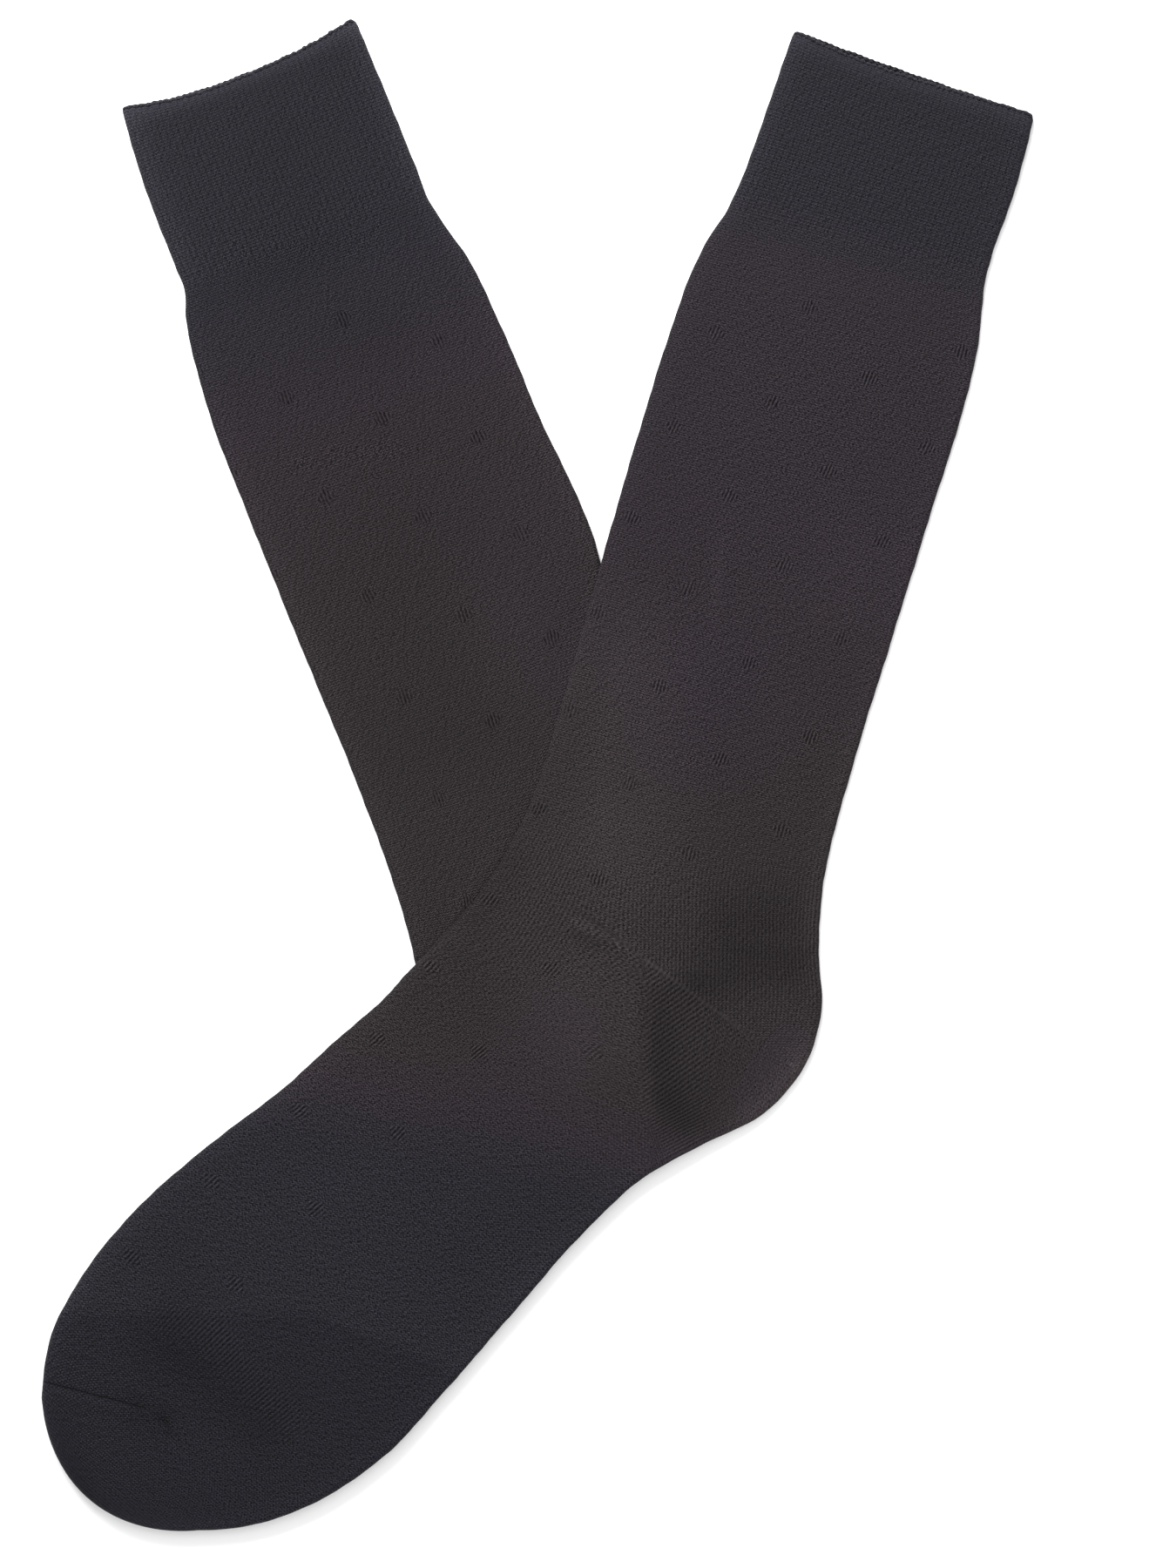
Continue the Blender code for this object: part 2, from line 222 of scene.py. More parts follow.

# Where the cloth is painted lighter (+) or darker (-), as a share: painted light on creases,
# drapes and folds, painted shade in the heel pocket, under creases and in the dimple, and
# painted light where the back sock lies in the front one's shadow; some lines, as those of the
# toe, are partly the darker tone of its knit. And where it is stretched so far that the gaps
# between its wales show: lines of the same kind, with a share for a height.
FRONT_PAINTED_SHADING_AND_TONE = [
    Line("above the gore", 31.5, -53.5, 56.0, -71.0, -0.07, 5.0, 1.2, 0.15),
    Line("start of the heel", 37.0, -55.0, 86.0, -56.5, -0.32, 6.0, 8.0, 0.25),
    Line("back of the heel", 42.0, -44.0, 92.0, -42.0, -0.27, 13.0, 9.0, 0.28),
    Line("side of the heel", 50.0, -52.0, 90.0, -51.5, -0.13, 3.0, 3.0, 0.3),
    Line("heel pocket", 34.2, -54.0, 38.0, -112.0, -0.34, 18.0, 4.0, 0.18),
    Line("fold of the pocket", 34.2, -66.0, 35.0, -105.0, -0.13, 5.5, 2.6, 0.3),
    Line("turn of the pocket's fold", 34.0, -88.0, 47.0, -112.0, -0.13, 8.0, 3.0, 0.35),
    Line("edge of the pocket", 27.5, -58.0, 28.5, -98.0, 0.06, 1.5, 4.0, 0.3),
    Line("tip of the heel", 84.0, -74.0, 52.0, -109.0, 0.22, 4.0, 9.0, 0.3),
    Line("over the back sock", 31.0, 66.0, 17.0, -46.0, 0.25, 22.0, 14.0, 0.35),
    Line("above the bend", 18.0, 0.0, 24.0, -50.0, 0.13, 11.0, 7.0, 0.35),
    Line("crease of the bend", 7.0, -42.3, 20.0, -48.6, 0.26, 1.8, 1.2, 0.3),
    Line("crease at the apex", 19.0, -47.6, 32.0, -54.2, 0.28, 1.8, 1.4, 0.3),
    Line("under the crease", 8.0, -45.0, 20.0, -51.5, -0.12, 1.2, 2.0, 0.3),
    Line("calf fold", 54.0, 78.0, 51.0, 34.0, 0.10, 2.5, 2.5, 0.4),
    Line("instep beside the pocket", 0.0, -46.0, 22.0, -96.0, 0.26, 16.0, 16.0, 0.4),
    Line("instep", -100.0, -104.0, -26.0, -60.0, 0.06, 10.0, 20.0, 0.3),
    Line("middle of the foot", -80.0, -124.0, -30.0, -112.0, 0.05, 7.0, 12.0, 0.3),
    Line("sole behind the instep", 18.0, -112.0, -34.0, -150.0, -0.04, 9.0, 9.0, 0.25),
    Line("instep fold", -42.0, -56.0, -4.0, -12.0, -0.10, 4.0, 4.0, 0.2),
    Line("front of the ankle", -2.0, -18.0, -26.0, -46.0, -0.13, 6.0, 6.0, 0.25),
    Line("back of the ankle", 85.0, -30.0, 80.0, -50.0, 0.10, 4.0, 9.0, 0.35),
    Line("foot of the cuff", 52.0, 158.0, 132.0, 140.0, 0.06, 12.0, 10.0, 0.2),
    Line("calf above the fold", 100.0, 78.0, 82.0, 34.0, 0.08, 10.0, 10.0, 0.4),
    Line("instep half of the toe", -112.0, -128.0, -98.0, -164.0, -0.10, 14.0, 14.0, 0.3),
    Line("stretch of the toe", -120.0, -154.0, -66.0, -198.0, -0.29, 10.0, 10.0, 0.22),
    Line("middle of the toe", -106.0, -160.0, -122.0, -198.0, -0.08, 13.0, 12.0, 0.3),
    Line("end of the toe", -146.0, -160.0, -120.0, -218.0, -0.02, 14.0, 10.0, 0.3),
    Line("above the dimple", -124.0, -182.0, -101.0, -189.0, -0.17, 3.0, 7.0, 0.35),
    Line("dimple", -112.6, -186.2, -106.9, -191.0, -0.36, 0.8, 0.9, 0.3),
    Line("end of the dimple", -107.2, -189.6, -108.8, -194.4, -0.28, 0.9, 0.9, 0.4),
]
BACK_PAINTED_SHADING_AND_TONE = [
    Line("side of the cuff", -122.0, 194.0, -103.0, 140.0, 0.16, 8.0, 4.0, 0.1),
    Line("other side of the cuff", -53.0, 222.0, -33.0, 172.0, 0.10, 4.0, 5.0, 0.1),
    Line("middle of the cuff", -82.0, 200.0, -60.0, 138.0, -0.10, 16.0, 16.0, 0.25),
    Line("below the back cuff", -92.0, 150.0, -30.0, 128.0, -0.06, 9.0, 12.0, 0.2),
    Line("middle of the calf", -66.0, 146.0, -18.0, -10.0, -0.15, 38.0, 38.0, 0.15),
    Line("right of the calf", -20.0, 70.0, 6.0, 0.0, 0.12, 14.0, 14.0, 0.4),
    Line("beside the front sock", 19.0, 62.0, -2.0, -10.0, 0.20, 2.0, 2.5, 0.1),
    Line("beside the front instep", -2.0, -8.0, -36.0, -56.0, 0.08, 2.0, 2.5, 0.1),
]
FRONT_STRETCH = [
    Line("leg above the heel", 50.0, -16.0, 52.0, -78.0, 0.66, 45.0, 34.0, 0.38),
    Line("leg above the gore", 52.0, -46.0, 62.0, -88.0, 0.34, 22.0, 16.0, 0.35),
    Line("front of the ankle", 8.0, -8.0, -8.0, -62.0, 0.52, 18.0, 13.0, 0.3),
    Line("top of the instep", 6.0, -56.0, -30.0, -96.0, 0.34, 15.0, 15.0, 0.3),
    Line("toe", -101.0, -159.0, -65.0, -198.0, 1.0, 5.5, 6.0, 0.25),
    Line("start of the toe", -118.0, -158.0, -84.0, -164.0, 0.95, 5.0, 5.5, 0.3),
]
BACK_STRETCH = FRONT_STRETCH[-2:]  # that of the toe

# How warm the yarn looks down the sock, from 0 for the cool black to 1 for the warm one.
FRONT_WARMTH = {
    "lower cuff": 0.0,
    "foot of cuff": 0.15,
    "below the cuff": 0.33,
    "top of calf": 0.38,
    "middle of calf": 0.42,
    "leg": 0.60,
    "lower leg": 0.90,
    "ankle": 1.0,
}
BACK_WARMTH = {
    "foot of cuff": 0.0,
    "below the cuff": 0.03,
    "top of calf": 0.12,
    "calf": 0.38,
    "middle of calf": 0.78,
    "leg": 0.90,
    "lower leg": 1.0,
}
# The line across the foot where the yarn turns cool again, y = height + slope x, and over how
# many mm it does.
COOL_FOOT = (-103.0, -0.22, 44.0)
# The line where the toe cap starts, y = height - slope (x - bend) on the right of the bend and
# level on its left, and over how many mm it does.
TOE_CAP = (-155.0, 0.4, -66.6, 5.0)
# Where the yarn looks warmer (+) or cooler (-) than the rest of its row: lines of that kind.
FRONT_TINT = [
    Line("shin", 58.0, 54.0, 42.0, -16.0, -0.34, 20.0, 20.0, 0.4),
    Line("side of the foot", 22.0, -58.0, -24.0, -110.0, -0.28, 16.0, 16.0, 0.3),
    Line("tip of the heel", 80.0, -68.0, 56.0, -104.0, -0.34, 7.0, 7.0, 0.3),
    Line("edge of the instep", -50.0, -80.0, -88.0, -116.0, 0.45, 8.0, 8.0, 0.3),
]
BACK_TINT = [
    Line("heel side of the leg", -16.0, 96.0, 18.0, 0.0, -0.20, 18.0, 18.0, 0.2),
]
# The four blacks lie on one scale: the toe's at 0, the cool one here, then violet, warm at 1.
COOL_YARN = 0.2

# How light the cloth looks, and how much darker in the toe cap and the cuff.
CLOTH_LIGHT = 0.985
TOE_DARKER = 0.22
CUFF_DARKER = 0.035

# The painted light along a fold falls off over its reach in mm. Close to the fold the cloth
# turns under, and painted shade makes it darker by a share. A rim is lighter, and inside it
# painted light lifts the cloth out of the shade of the tube.
FOLD_REACH = 5.0
FOLD_TURN = 0.30
FOLD_TURN_REACH = 1.6
MOUTH_LIGHT_REACH = 4.0
INSIDE_PAINTED_LIGHT = 1.5

# How uneven the yarn looks down the sock, as a share, and how far less so at the mouth.
MOUTH_SMOOTHER = 0.35
GRAIN = {
    "mouth": 0.78,
    "lower cuff": 0.88,
    "foot of cuff": 0.88,
    "calf": 0.85,
    "leg": 0.84,
    "lower leg": 0.80,
    "ankle": 0.92,
    "top of heel": 0.97,
    "arch": 0.93,
    "middle of foot": 1.05,
    "start of toe": 0.92,
    "tip of toe": 1.05,
}

# Where it looks more uneven (+) or less (-), as a share of that: lines of the same kind.
GRAIN_LINES = [
    Line("slack rows of the calf", -76.0, 91.0, -33.0, 96.5, 0.6, 2.6, 2.6, 0.15),
    Line("foot of the back cuff", -98.0, 152.0, -40.0, 156.0, 0.25, 8.0, 8.0, 0.15),
    Line("front leg", 96.0, 140.0, 44.0, -14.0, 0.28, 42.0, 42.0, 0.12),
    Line("side of the ankle", 8.0, -62.0, 22.0, -100.0, -0.25, 14.0, 14.0, 0.3),
]

# Seams, on the upper and lower layer alike: the linked seam that closes the toe, a fine dark
# groove, and the gore line of the heel, a fine light ridge. Ends and half width are in mm;
# height is a share of the yarn's shade and of the bump's distance; fade is over how many mm
# the far end fades, and SEAM_START the near one.
SEAM_START = 1.5
Seam = namedtuple("Seam", "name x0 y0 x1 y1 half_width height fade")
SEAMS = [
    Seam("toe seam", -147.5, -176.9, -112.5, -185.9, 0.45, -0.80, 4.0),
    Seam("gore line", 30.6, -53.7, 66.0, -79.6, 0.75, 0.50, 26.0),
]

# --- The two socks --------------------------------------------------------------------------

FRONT = Sock(
    name="knit_sock_front",
    node="sock_front",
    slot="front_knit",
    sections=FRONT_SECTIONS,
    nose=13.5,
    mouth=Mouth(ends=-0.15, dip=0.6, middle=0.6, lag=1.35, light=0.48, corners=(1.6, 3.0)),
    drawn_out=0.978,
    twist=-9.5,
    rise=-0.087,
    drift=4.2,
    spot_start=(3.65, 31.3),
    heel=Heel(
        x=31.2,
        y=-53.8,
        gore=-36.3,
        leg=-91.0,
        foot=35.0,
        back=83.1,
        pitch=1.13,
        ease=25.0,
        fade=70.0,
    ),
    fold=FRONT_PAINTED_FOLD_SHADING,
    relief=FRONT_RELIEF,
    light=FRONT_PAINTED_SHADING_AND_TONE,
    stretch=FRONT_STRETCH,
    warmth=FRONT_WARMTH,
    tint=FRONT_TINT,
)
BACK = Sock(
    name="knit_sock_back",
    node="sock_back",
    slot="back_knit",
    sections=BACK_SECTIONS,
    nose=9.0,
    mouth=Mouth(ends=-0.65, dip=3.95, middle=0.53, lag=0.5, light=0.85, corners=(1.4, 2.5)),
    drawn_out=1.0375,
    twist=0.0,
    rise=0.03,
    drift=0.0,
    spot_start=(0.0, 12.3),
    heel=None,
    fold=BACK_PAINTED_FOLD_SHADING,
    relief=BACK_RELIEF,
    light=BACK_PAINTED_SHADING_AND_TONE,
    stretch=BACK_STRETCH,
    warmth=BACK_WARMTH,
    tint=BACK_TINT,
)

# --- Small sizes of the lay and the cloth, in mm --------------------------------------------

# The shell: how far apart its rings lie outside and inside, and its points round a ring, on
# the upper layer, on the lower one, and on a quarter turn of a fold.
OUTER_STEP = 1.0
INNER_STEP = 8.0
TOP_POINTS = 102
UNDER_POINTS = 34
FOLD_POINTS = 4

# The toe's rings past the last section stand at even angles of its ellipse, in degrees.
NOSE_START = 55.0
NOSE_END = 88.5
NOSE_RINGS = 22

# The cloth gets thinner, by a share, over a soft edge along its folds. Up to one share of the
# thickness a point belongs to the lower layer, and from the other on to the upper one.
SOFT_EDGE = 6.0
EDGE_THINNING = 0.20
LOWER_LAYER_END = 0.3
UPPER_LAYER_START = 0.7

# The mouth's shape reaches down the cuff by this much. Its rolled edge is thinner at the
# folds, by a share, and swells at each rib and tuft. It has so many points round it and so
# many rings to a wale.
MOUTH_REACH = 16.0
WELT_RADIUS = 0.66
WELT_THINNING = 0.45
RIB_SWELL = 0.12
TUFT_SWELL = 0.14
WELT_SIDES = 10
WELT_STEPS = 4
WELT_COURSES = 4.0  # of stitches round the roll

# What the knit of a rolled edge is like, where it isn't 0, and how light it looks: a light of
# its own, and a share of the mouth's.
WELT_ZONE = {"warm": COOL_YARN, "cuff": 1.0, "grain": 0.9}
WELT_LIGHT = 0.72
WELT_MOUTH_LIGHT = 0.7

# The front sock lies clear of the back one, stays up a little beside it, and slopes down.
CLEARANCE = 0.3
STILL_LIFTED = 4.0
DRAPE_REACH = 36.0
OUTLINE_STEP = 5.0

# Unevenness of the folds and of the rims: wave lengths, where the waves of each start, and
# how far the rims waver.
FOLD_WAVES = (6.7, 13.1, 28.7)
INSTEP_WAVE_START = 1.7
HEEL_WAVE_START = 0.3
RIM_WAVES = (1.83, 3.1, 7.7)
RIM_WAVE_START = 0.9
RIM_UNEVEN = 0.26

# --- The knit and its repeat of tuck-stitch spots, in wales and courses ---------------------

TWIST_COURSES = (87, 230)  # where the twist starts to come out, and where it has
KNIT_COLUMNS = 225  # of the grid that the stitches are counted on
MOST_COURSES = 8  # in one face; one over the edge of the heel pocket takes its rings' courses

# The spots begin a part of a section past the one below the cuff. They leave out the sole,
# which begins at a share of the way from the instep fold to the heel fold.
SPOT_COLUMN = 22.0
SPOT_ROW = 41.0
SPOT_HALF_WIDTH = 3.4
SPOT_HALF_HEIGHT = 4.0
SPOT_EDGE = 3.0  # how sharply a spot's edge rises
LEAST_SPOT = 0.65  # how clear the faintest spot is, as a share of the clearest
SPOTS_BEGIN = 0.3
SOLE_BEGINS = 0.42

# How far the knit can be stretched, from 0 to its most, and by which share it is slacker at
# the tip of the heel.
MOST_STRETCH = 1.2
TIP_SLACKER = 0.75

# How close and how far apart the rings may come for the grain, against those in the middle of
# the sock, the power by which it falls off where they open, and how much less in stretched
# cloth.
RINGS_APART = (0.5, 1.6)
OPEN_POWER = -0.8
STRETCH_EVENS = 0.6

# --- The stage, in metres and watts ---------------------------------------------------------

PAPER_HALF = 1.5  # of a side
PAPER_DROP = 0.02 * MM  # so that the socks don't touch the paper
SoftLight = namedtuple("SoftLight", "name place size power")
LIGHTS = [
    SoftLight("top_softbox", (-0.45, 1.15, 0.8), 0.9, 42.5),
    SoftLight("overhead_softbox", (0.2, 0.0, 1.7), 1.6, 7.5),
]
TENT_LIGHT = 0.94
CAMERA_AIM = (0.0145, -0.0028, 0.003)
CAMERA_HEIGHT = 2.5
PICTURE_HEIGHT = 0.459


def hex_colour(code):
    """Linear RGBA of an sRGB hex colour."""
    part = np.array([int(code[i : i + 2], 16) for i in (1, 3, 5)]) / 255
    linear = np.where(part <= 0.04045, part / 12.92, ((part + 0.055) / 1.055) ** 2.4)
    return (*linear.tolist(), 1.0)


# --- Shapes ---------------------------------------------------------------------------------

# The rings of a sock, a row for each: its middle, the unit vector across it from instep to
# heel, its width, thickness and wall, how far it rises off the floor as it gets thinner at the
# tip, how far down the sock it lies, in mm, and at which section, with parts of one.
Rings = namedtuple("Rings", "middle across width thick wall rise place row")
Round = namedtuple("Round", "flat side up turned layer")


def smooth_step(value):
    """0 below 0, 1 above 1, and the curve 3t^2 - 2t^3 between them."""
    part = np.clip(value, 0, 1)
    return part**2 * (3 - 2 * part)


def smooth_through(places, values, wanted):
    """Cubic curves through rows of values at uneven places, read at the wanted places.

    The slope at a row is the mean of the slopes to its two neighbours, each weighted by
    the length of the other side.
    """
    run = np.diff(places)[:, None]
    rise = np.diff(values, axis=0) / run
    slope = np.empty_like(values)
    slope[1:-1] = (rise[:-1] * run[1:] + rise[1:] * run[:-1]) / (run[:-1] + run[1:])
    slope[0] = 1.5 * rise[0] - 0.5 * slope[1]
    slope[-1] = 1.5 * rise[-1] - 0.5 * slope[-2]
    at = np.clip(np.searchsorted(places, wanted, side="right") - 1, 0, len(run) - 1)
    part = ((wanted - places[at]) / run[at, 0])[:, None]
    start = (1 + 2 * part) * (1 - part) ** 2 * values[at]
    end = part**2 * (3 - 2 * part) * values[at + 1]
    leave = part * (1 - part) ** 2 * run[at] * slope[at]
    arrive = part**2 * (part - 1) * run[at] * slope[at + 1]
    return start + end + leave + arrive


def direction(degrees):
    """Unit vector at an angle anticlockwise from +X."""
    angle = np.radians(degrees)
    return np.stack([np.cos(angle), np.sin(angle)], axis=-1)


def onward(across):
    """Down the sock: a quarter turn clockwise from the line across, instep to heel."""
    return np.stack([across[..., 1], -across[..., 0]], axis=-1)


def rings_of(sock, step, inset=0.0):
    """Rings down a sock, about step mm apart along the longer of its two folds.

    The folds are cubic curves through the ends of the sections; a ring lies across between
    them. Past the last section the toe is the end of an ellipse: its half width goes as the
    cosine and its reach as the sine of one angle, and its thickness rounds off to the tip.
    """
    numbers = np.array([row[1:] for row in sock.sections], float)
    middle, slant, width = numbers[:, :2], numbers[:, 2], numbers[:, 3]
    half = direction(slant) * width[:, None] / 2
    folds = np.hstack([middle - half, middle + half])
    moved = np.diff(folds, axis=0)
    steps = np.maximum(np.hypot(*moved.T[:2]), np.hypot(*moved.T[2:]))
    places = np.concatenate([[0.0], np.cumsum(steps)])
    wanted = np.linspace(0, places[-1], int(np.ceil(places[-1] / step)) + 1)
    folds = smooth_through(places, folds, wanted)
    cloth = smooth_through(places, numbers[:, 4:], wanted)
    across = folds[:, 2:] - folds[:, :2]
    width = np.hypot(*across.T)
    across = across / width[:, None]
    middle = (folds[:, 2:] + folds[:, :2]) / 2
    row = np.interp(wanted, places, np.arange(len(places)))

    turn = np.radians(np.linspace(NOSE_START, NOSE_END, NOSE_RINGS + 1))
    reach = sock.nose - inset
    ahead = (reach * (np.sin(turn) - np.sin(turn[0])) / (1 - np.sin(turn[0])))[1:]
    narrow = (np.cos(turn) / np.cos(turn[0]))[1:]
    last_thick, last_wall = cloth[-1]
    round_off = last_thick / 2 - inset
    share = np.sqrt(1 - np.clip(1 - (reach - ahead) / round_off, 0, 1) ** 2)
    nose_thick = 2 * (inset + round_off * share)
    along = np.hypot(*np.diff(middle, axis=0).T)
    place = np.concatenate([[0.0], np.cumsum(along)])
    return Rings(
        np.concatenate([middle, middle[-1] + ahead[:, None] * onward(across[-1])]),
        np.concatenate([across, np.repeat(across[-1:], NOSE_RINGS, axis=0)]),
        np.concatenate([width, 2 * inset + (width[-1] - 2 * inset) * narrow]),
        np.concatenate([cloth[:, 0], nose_thick]),
        np.concatenate([cloth[:, 1], np.full(NOSE_RINGS, last_wall)]),
        np.concatenate([np.zeros(len(wanted)), (last_thick - nose_thick) / 2]),
        np.concatenate([place, place[-1] + ahead]),
        np.concatenate([row, row[-1] + ahead / sock.nose]),
    )


def once_round():
    """The points once round a ring, from the heel fold over the upper layer and back below.

    flat is the place on the flat part, -1 at the instep fold to 1 at the heel fold; side and
    up point round the fold's half circle; turned is the share of a fold's quarter turned
    from its layer; layer is 1 on the upper layer and -1 on the lower one.
    """
    quarter = np.radians(90 * np.arange(FOLD_POINTS) / FOLD_POINTS)
    down = np.radians(90 - 90 * np.arange(1, 2 * FOLD_POINTS) / FOLD_POINTS)
    top, under = np.linspace(1, -1, TOP_POINTS), np.linspace(-1, 1, UNDER_POINTS)
    angle = [quarter, np.full(TOP_POINTS, np.pi / 2), down]
    angle += [np.full(UNDER_POINTS, -np.pi / 2), -quarter[:0:-1]]
    flat = [np.ones(FOLD_POINTS), top, -np.ones(len(down)), under, np.ones(FOLD_POINTS - 1)]
    angle, flat = np.concatenate(angle), np.concatenate(flat)
    sign = np.where(flat < 0, -1.0, 1.0)
    upper = np.arange(len(flat)) < FOLD_POINTS + TOP_POINTS + FOLD_POINTS
    turned = 1 - np.abs(angle) / (np.pi / 2)
    return Round(flat, sign * np.cos(angle), np.sin(angle), turned, np.where(upper, 1.0, -1.0))


def edge_wave(place, start, lengths):
    """Uneven edge: the mean of sines of a few wave lengths that don't come round together.

    The angle of each at a place is 2 pi place / length + start length.
    """
    waves = [np.sin(2 * np.pi * place / length + start * length) for length in lengths]
    return sum(waves) / len(waves)


def lines_sum(points, table):
    """The heights of all the lines of a table, added up at each point.

    A line's height falls off across it as exp(-(distance / width)^2), with a width for each
    side, and fades in and out along it.
    """
    height = np.zeros(points.shape[:-1])
    for line in table:
        start, end = np.array([line.x0, line.y0]), np.array([line.x1, line.y1])
        length = np.hypot(*(end - start))
        along_line = (end - start) / length
        offset = points - start
        along = offset @ along_line / length
        beside = along_line[0] * offset[..., 1] - along_line[1] * offset[..., 0]
        width = np.where(beside > 0, line.left, line.right)
        ends = smooth_step(along / line.fade) * smooth_step((1 - along) / line.fade)
        height += line.height * np.exp(-((beside / width) ** 2)) * ends
    return height


def distance_outside(points, outline):
    """How far each point lies outside a closed outline, 0 for a point inside it."""
    away = np.full(len(points), np.inf)
    crossings = np.zeros(len(points), int)
    for start, end in zip(outline, np.roll(outline, -1, axis=0)):
        side = end - start
        offset = points - start
        share = np.clip(offset @ side / (side @ side), 0, 1)
        away = np.minimum(away, np.hypot(*(offset - share[:, None] * side).T))
        if start[1] != end[1]:
            straddles = (start[1] > points[:, 1]) != (end[1] > points[:, 1])
            meets = start[0] + (points[:, 1] - start[1]) / side[1] * side[0]
            crossings += straddles & (points[:, 0] < meets)
    return np.where(crossings % 2 == 1, 0.0, away)


def on_floor(points):
    """Height of what lies on the floor: 0 everywhere."""
    return np.zeros(points.shape[:-1])


def over_back_sock(points):
    """Height of what lies on the back sock: on its top, then sloping to the floor beside it."""
    rings = rings_of(BACK, OUTLINE_STEP)
    half = rings.across * rings.width[:, None] / 2
    outline = np.concatenate([rings.middle - half, (rings.middle + half)[::-1]])
    away = distance_outside(points.reshape(-1, 2), outline).reshape(points.shape[:-1])
    lifted = BACK.sections[-1].thick + CLEARANCE
    return lifted * (1 - smooth_step((away - STILL_LIFTED) / DRAPE_REACH))


def mouth_shift(sock, rings, share, upper):
    """How far the mouth's shape moves each point down the sock, fading out below the mouth.

    The mouth dips in as 1 - |2 (share - middle)|^2.4. The upper rim lies back as 6.75 share
    (1 - share)^2, which is 1 at a third of the way across. Each corner is a quarter circle, and
    short waves make the rim uneven.
    """
    mouth = sock.mouth
    shift = mouth.ends + mouth.dip * (1 - np.abs(2 * (share - mouth.middle)) ** 2.4)
    shift += mouth.lag * upper * 6.75 * share * (1 - share) ** 2
    for radius, away in zip(mouth.corners, (share, 1 - share)):
        near = np.clip(1 - away * rings.width[:, None] / radius, 0, 1)
        shift += radius * (1 - np.sqrt(1 - near**2))
    shift = shift * np.clip(1 - rings.place[:, None] / MOUTH_REACH, 0, 1) ** 2
    tufts = edge_wave(share * sock.sections[0].width + upper, RIM_WAVE_START, RIM_WAVES)
    return shift + RIM_UNEVEN * tufts * np.exp(-rings.place[:, None])


def surface_of(sock, rings, inset_share, support, knit):
    """Points of one surface of the tube, rings x points x 3, in mm.

    Across a ring the tube is two flat layers joined by half circles, and its height shrinks
    with the square of the way into the soft edge. Its folds waver a little, down to the toe's
    last section, and mouth_shift moves its mouth. Then come the relief of the cloth, weighted
    by how far a point belongs to the upper or the lower layer, and the height of what it lies
    on. inset_share is how far inside the cloth's outer face the surface lies, as a share of
    the wall.
    """
    ring = once_round()
    inset = (rings.wall * inset_share)[:, None]
    width, thick = rings.width[:, None], rings.thick[:, None]
    if inset_share:
        width, thick = width - 2 * inset, thick - 2 * inset
    radius = np.minimum(thick, width) / 2
    flat = width / 2 - radius
    x = flat * ring.flat + radius * ring.side
    z = thick / 2 + radius * ring.up + inset
    edge = np.clip((np.abs(x) - (rings.width[:, None] / 2 - SOFT_EDGE)) / SOFT_EDGE, 0, 1)
    layers = [LOWER_LAYER_END, UPPER_LAYER_START]
    upper = np.interp(z / rings.thick[:, None], layers, [0, 1])
    z *= 1 - EDGE_THINNING * edge**2
    share = np.clip(x / rings.width[:, None] + 0.5, 0, 1)
    past_last = (rings.row - len(sock.sections) + 1) * 2
    wave = knit.fold_wave / MM * (1 - smooth_step(past_last))
    x += (wave * edge_wave(rings.place, HEEL_WAVE_START, FOLD_WAVES))[:, None] * share
    x -= (wave * edge_wave(rings.place, INSTEP_WAVE_START, FOLD_WAVES))[:, None] * (1 - share)
    points = rings.middle[:, None] + x[..., None] * rings.across[:, None]
    points += mouth_shift(sock, rings, share, upper)[..., None] * onward(rings.across)[:, None]
    lift = lines_sum(points, sock.relief) * upper
    lift += lines_sum(points, HIDDEN_RELIEF) * (1 - upper)
    height = z + rings.rise[:, None] + lift + support(points)
    return np.concatenate([points, height[..., None]], axis=-1)


# --- The knit's own coordinates -------------------------------------------------------------


def row_number(sock, name):
    """The number of a sock's section of that name, counted from the mouth."""
    return [row.name for row in sock.sections].index(name)


def oblique(points, origin, first, second):
    """How many mm of each of two directions lead from an origin to each point."""
    away = points - origin
    cross = first[0] * second[1] - first[1] * second[0]
    one = (away[..., 0] * second[1] - away[..., 1] * second[0]) / cross
    two = (first[0] * away[..., 1] - first[1] * away[..., 0]) / cross
    return one, two


def course_numbers(sock, rings, knit, share=0.5):
    """Courses from the mouth to each ring: the way down the sock over a course's height.

    The way is taken at a share of the width from instep to heel. The height changes at the
    foot of the cuff, and again over the two sections above the front of the heel.
    """
    cuff = row_number(sock, "foot of cuff")
    heel = row_number(sock, "front of heel")
    leg_course = knit.leg_course * sock.drawn_out
    height = np.interp(
        rings.row,
        [cuff - 0.2, cuff + 0.2, heel - 2, heel],
        [knit.cuff_course, leg_course, leg_course, knit.foot_course],
    )
    line = rings.middle + (share - 0.5) * rings.width[:, None] * rings.across
    steps = np.hypot(*np.diff(line, axis=0).T) / (height[1:] / MM)
    return np.concatenate([[0.0], np.cumsum(steps)])


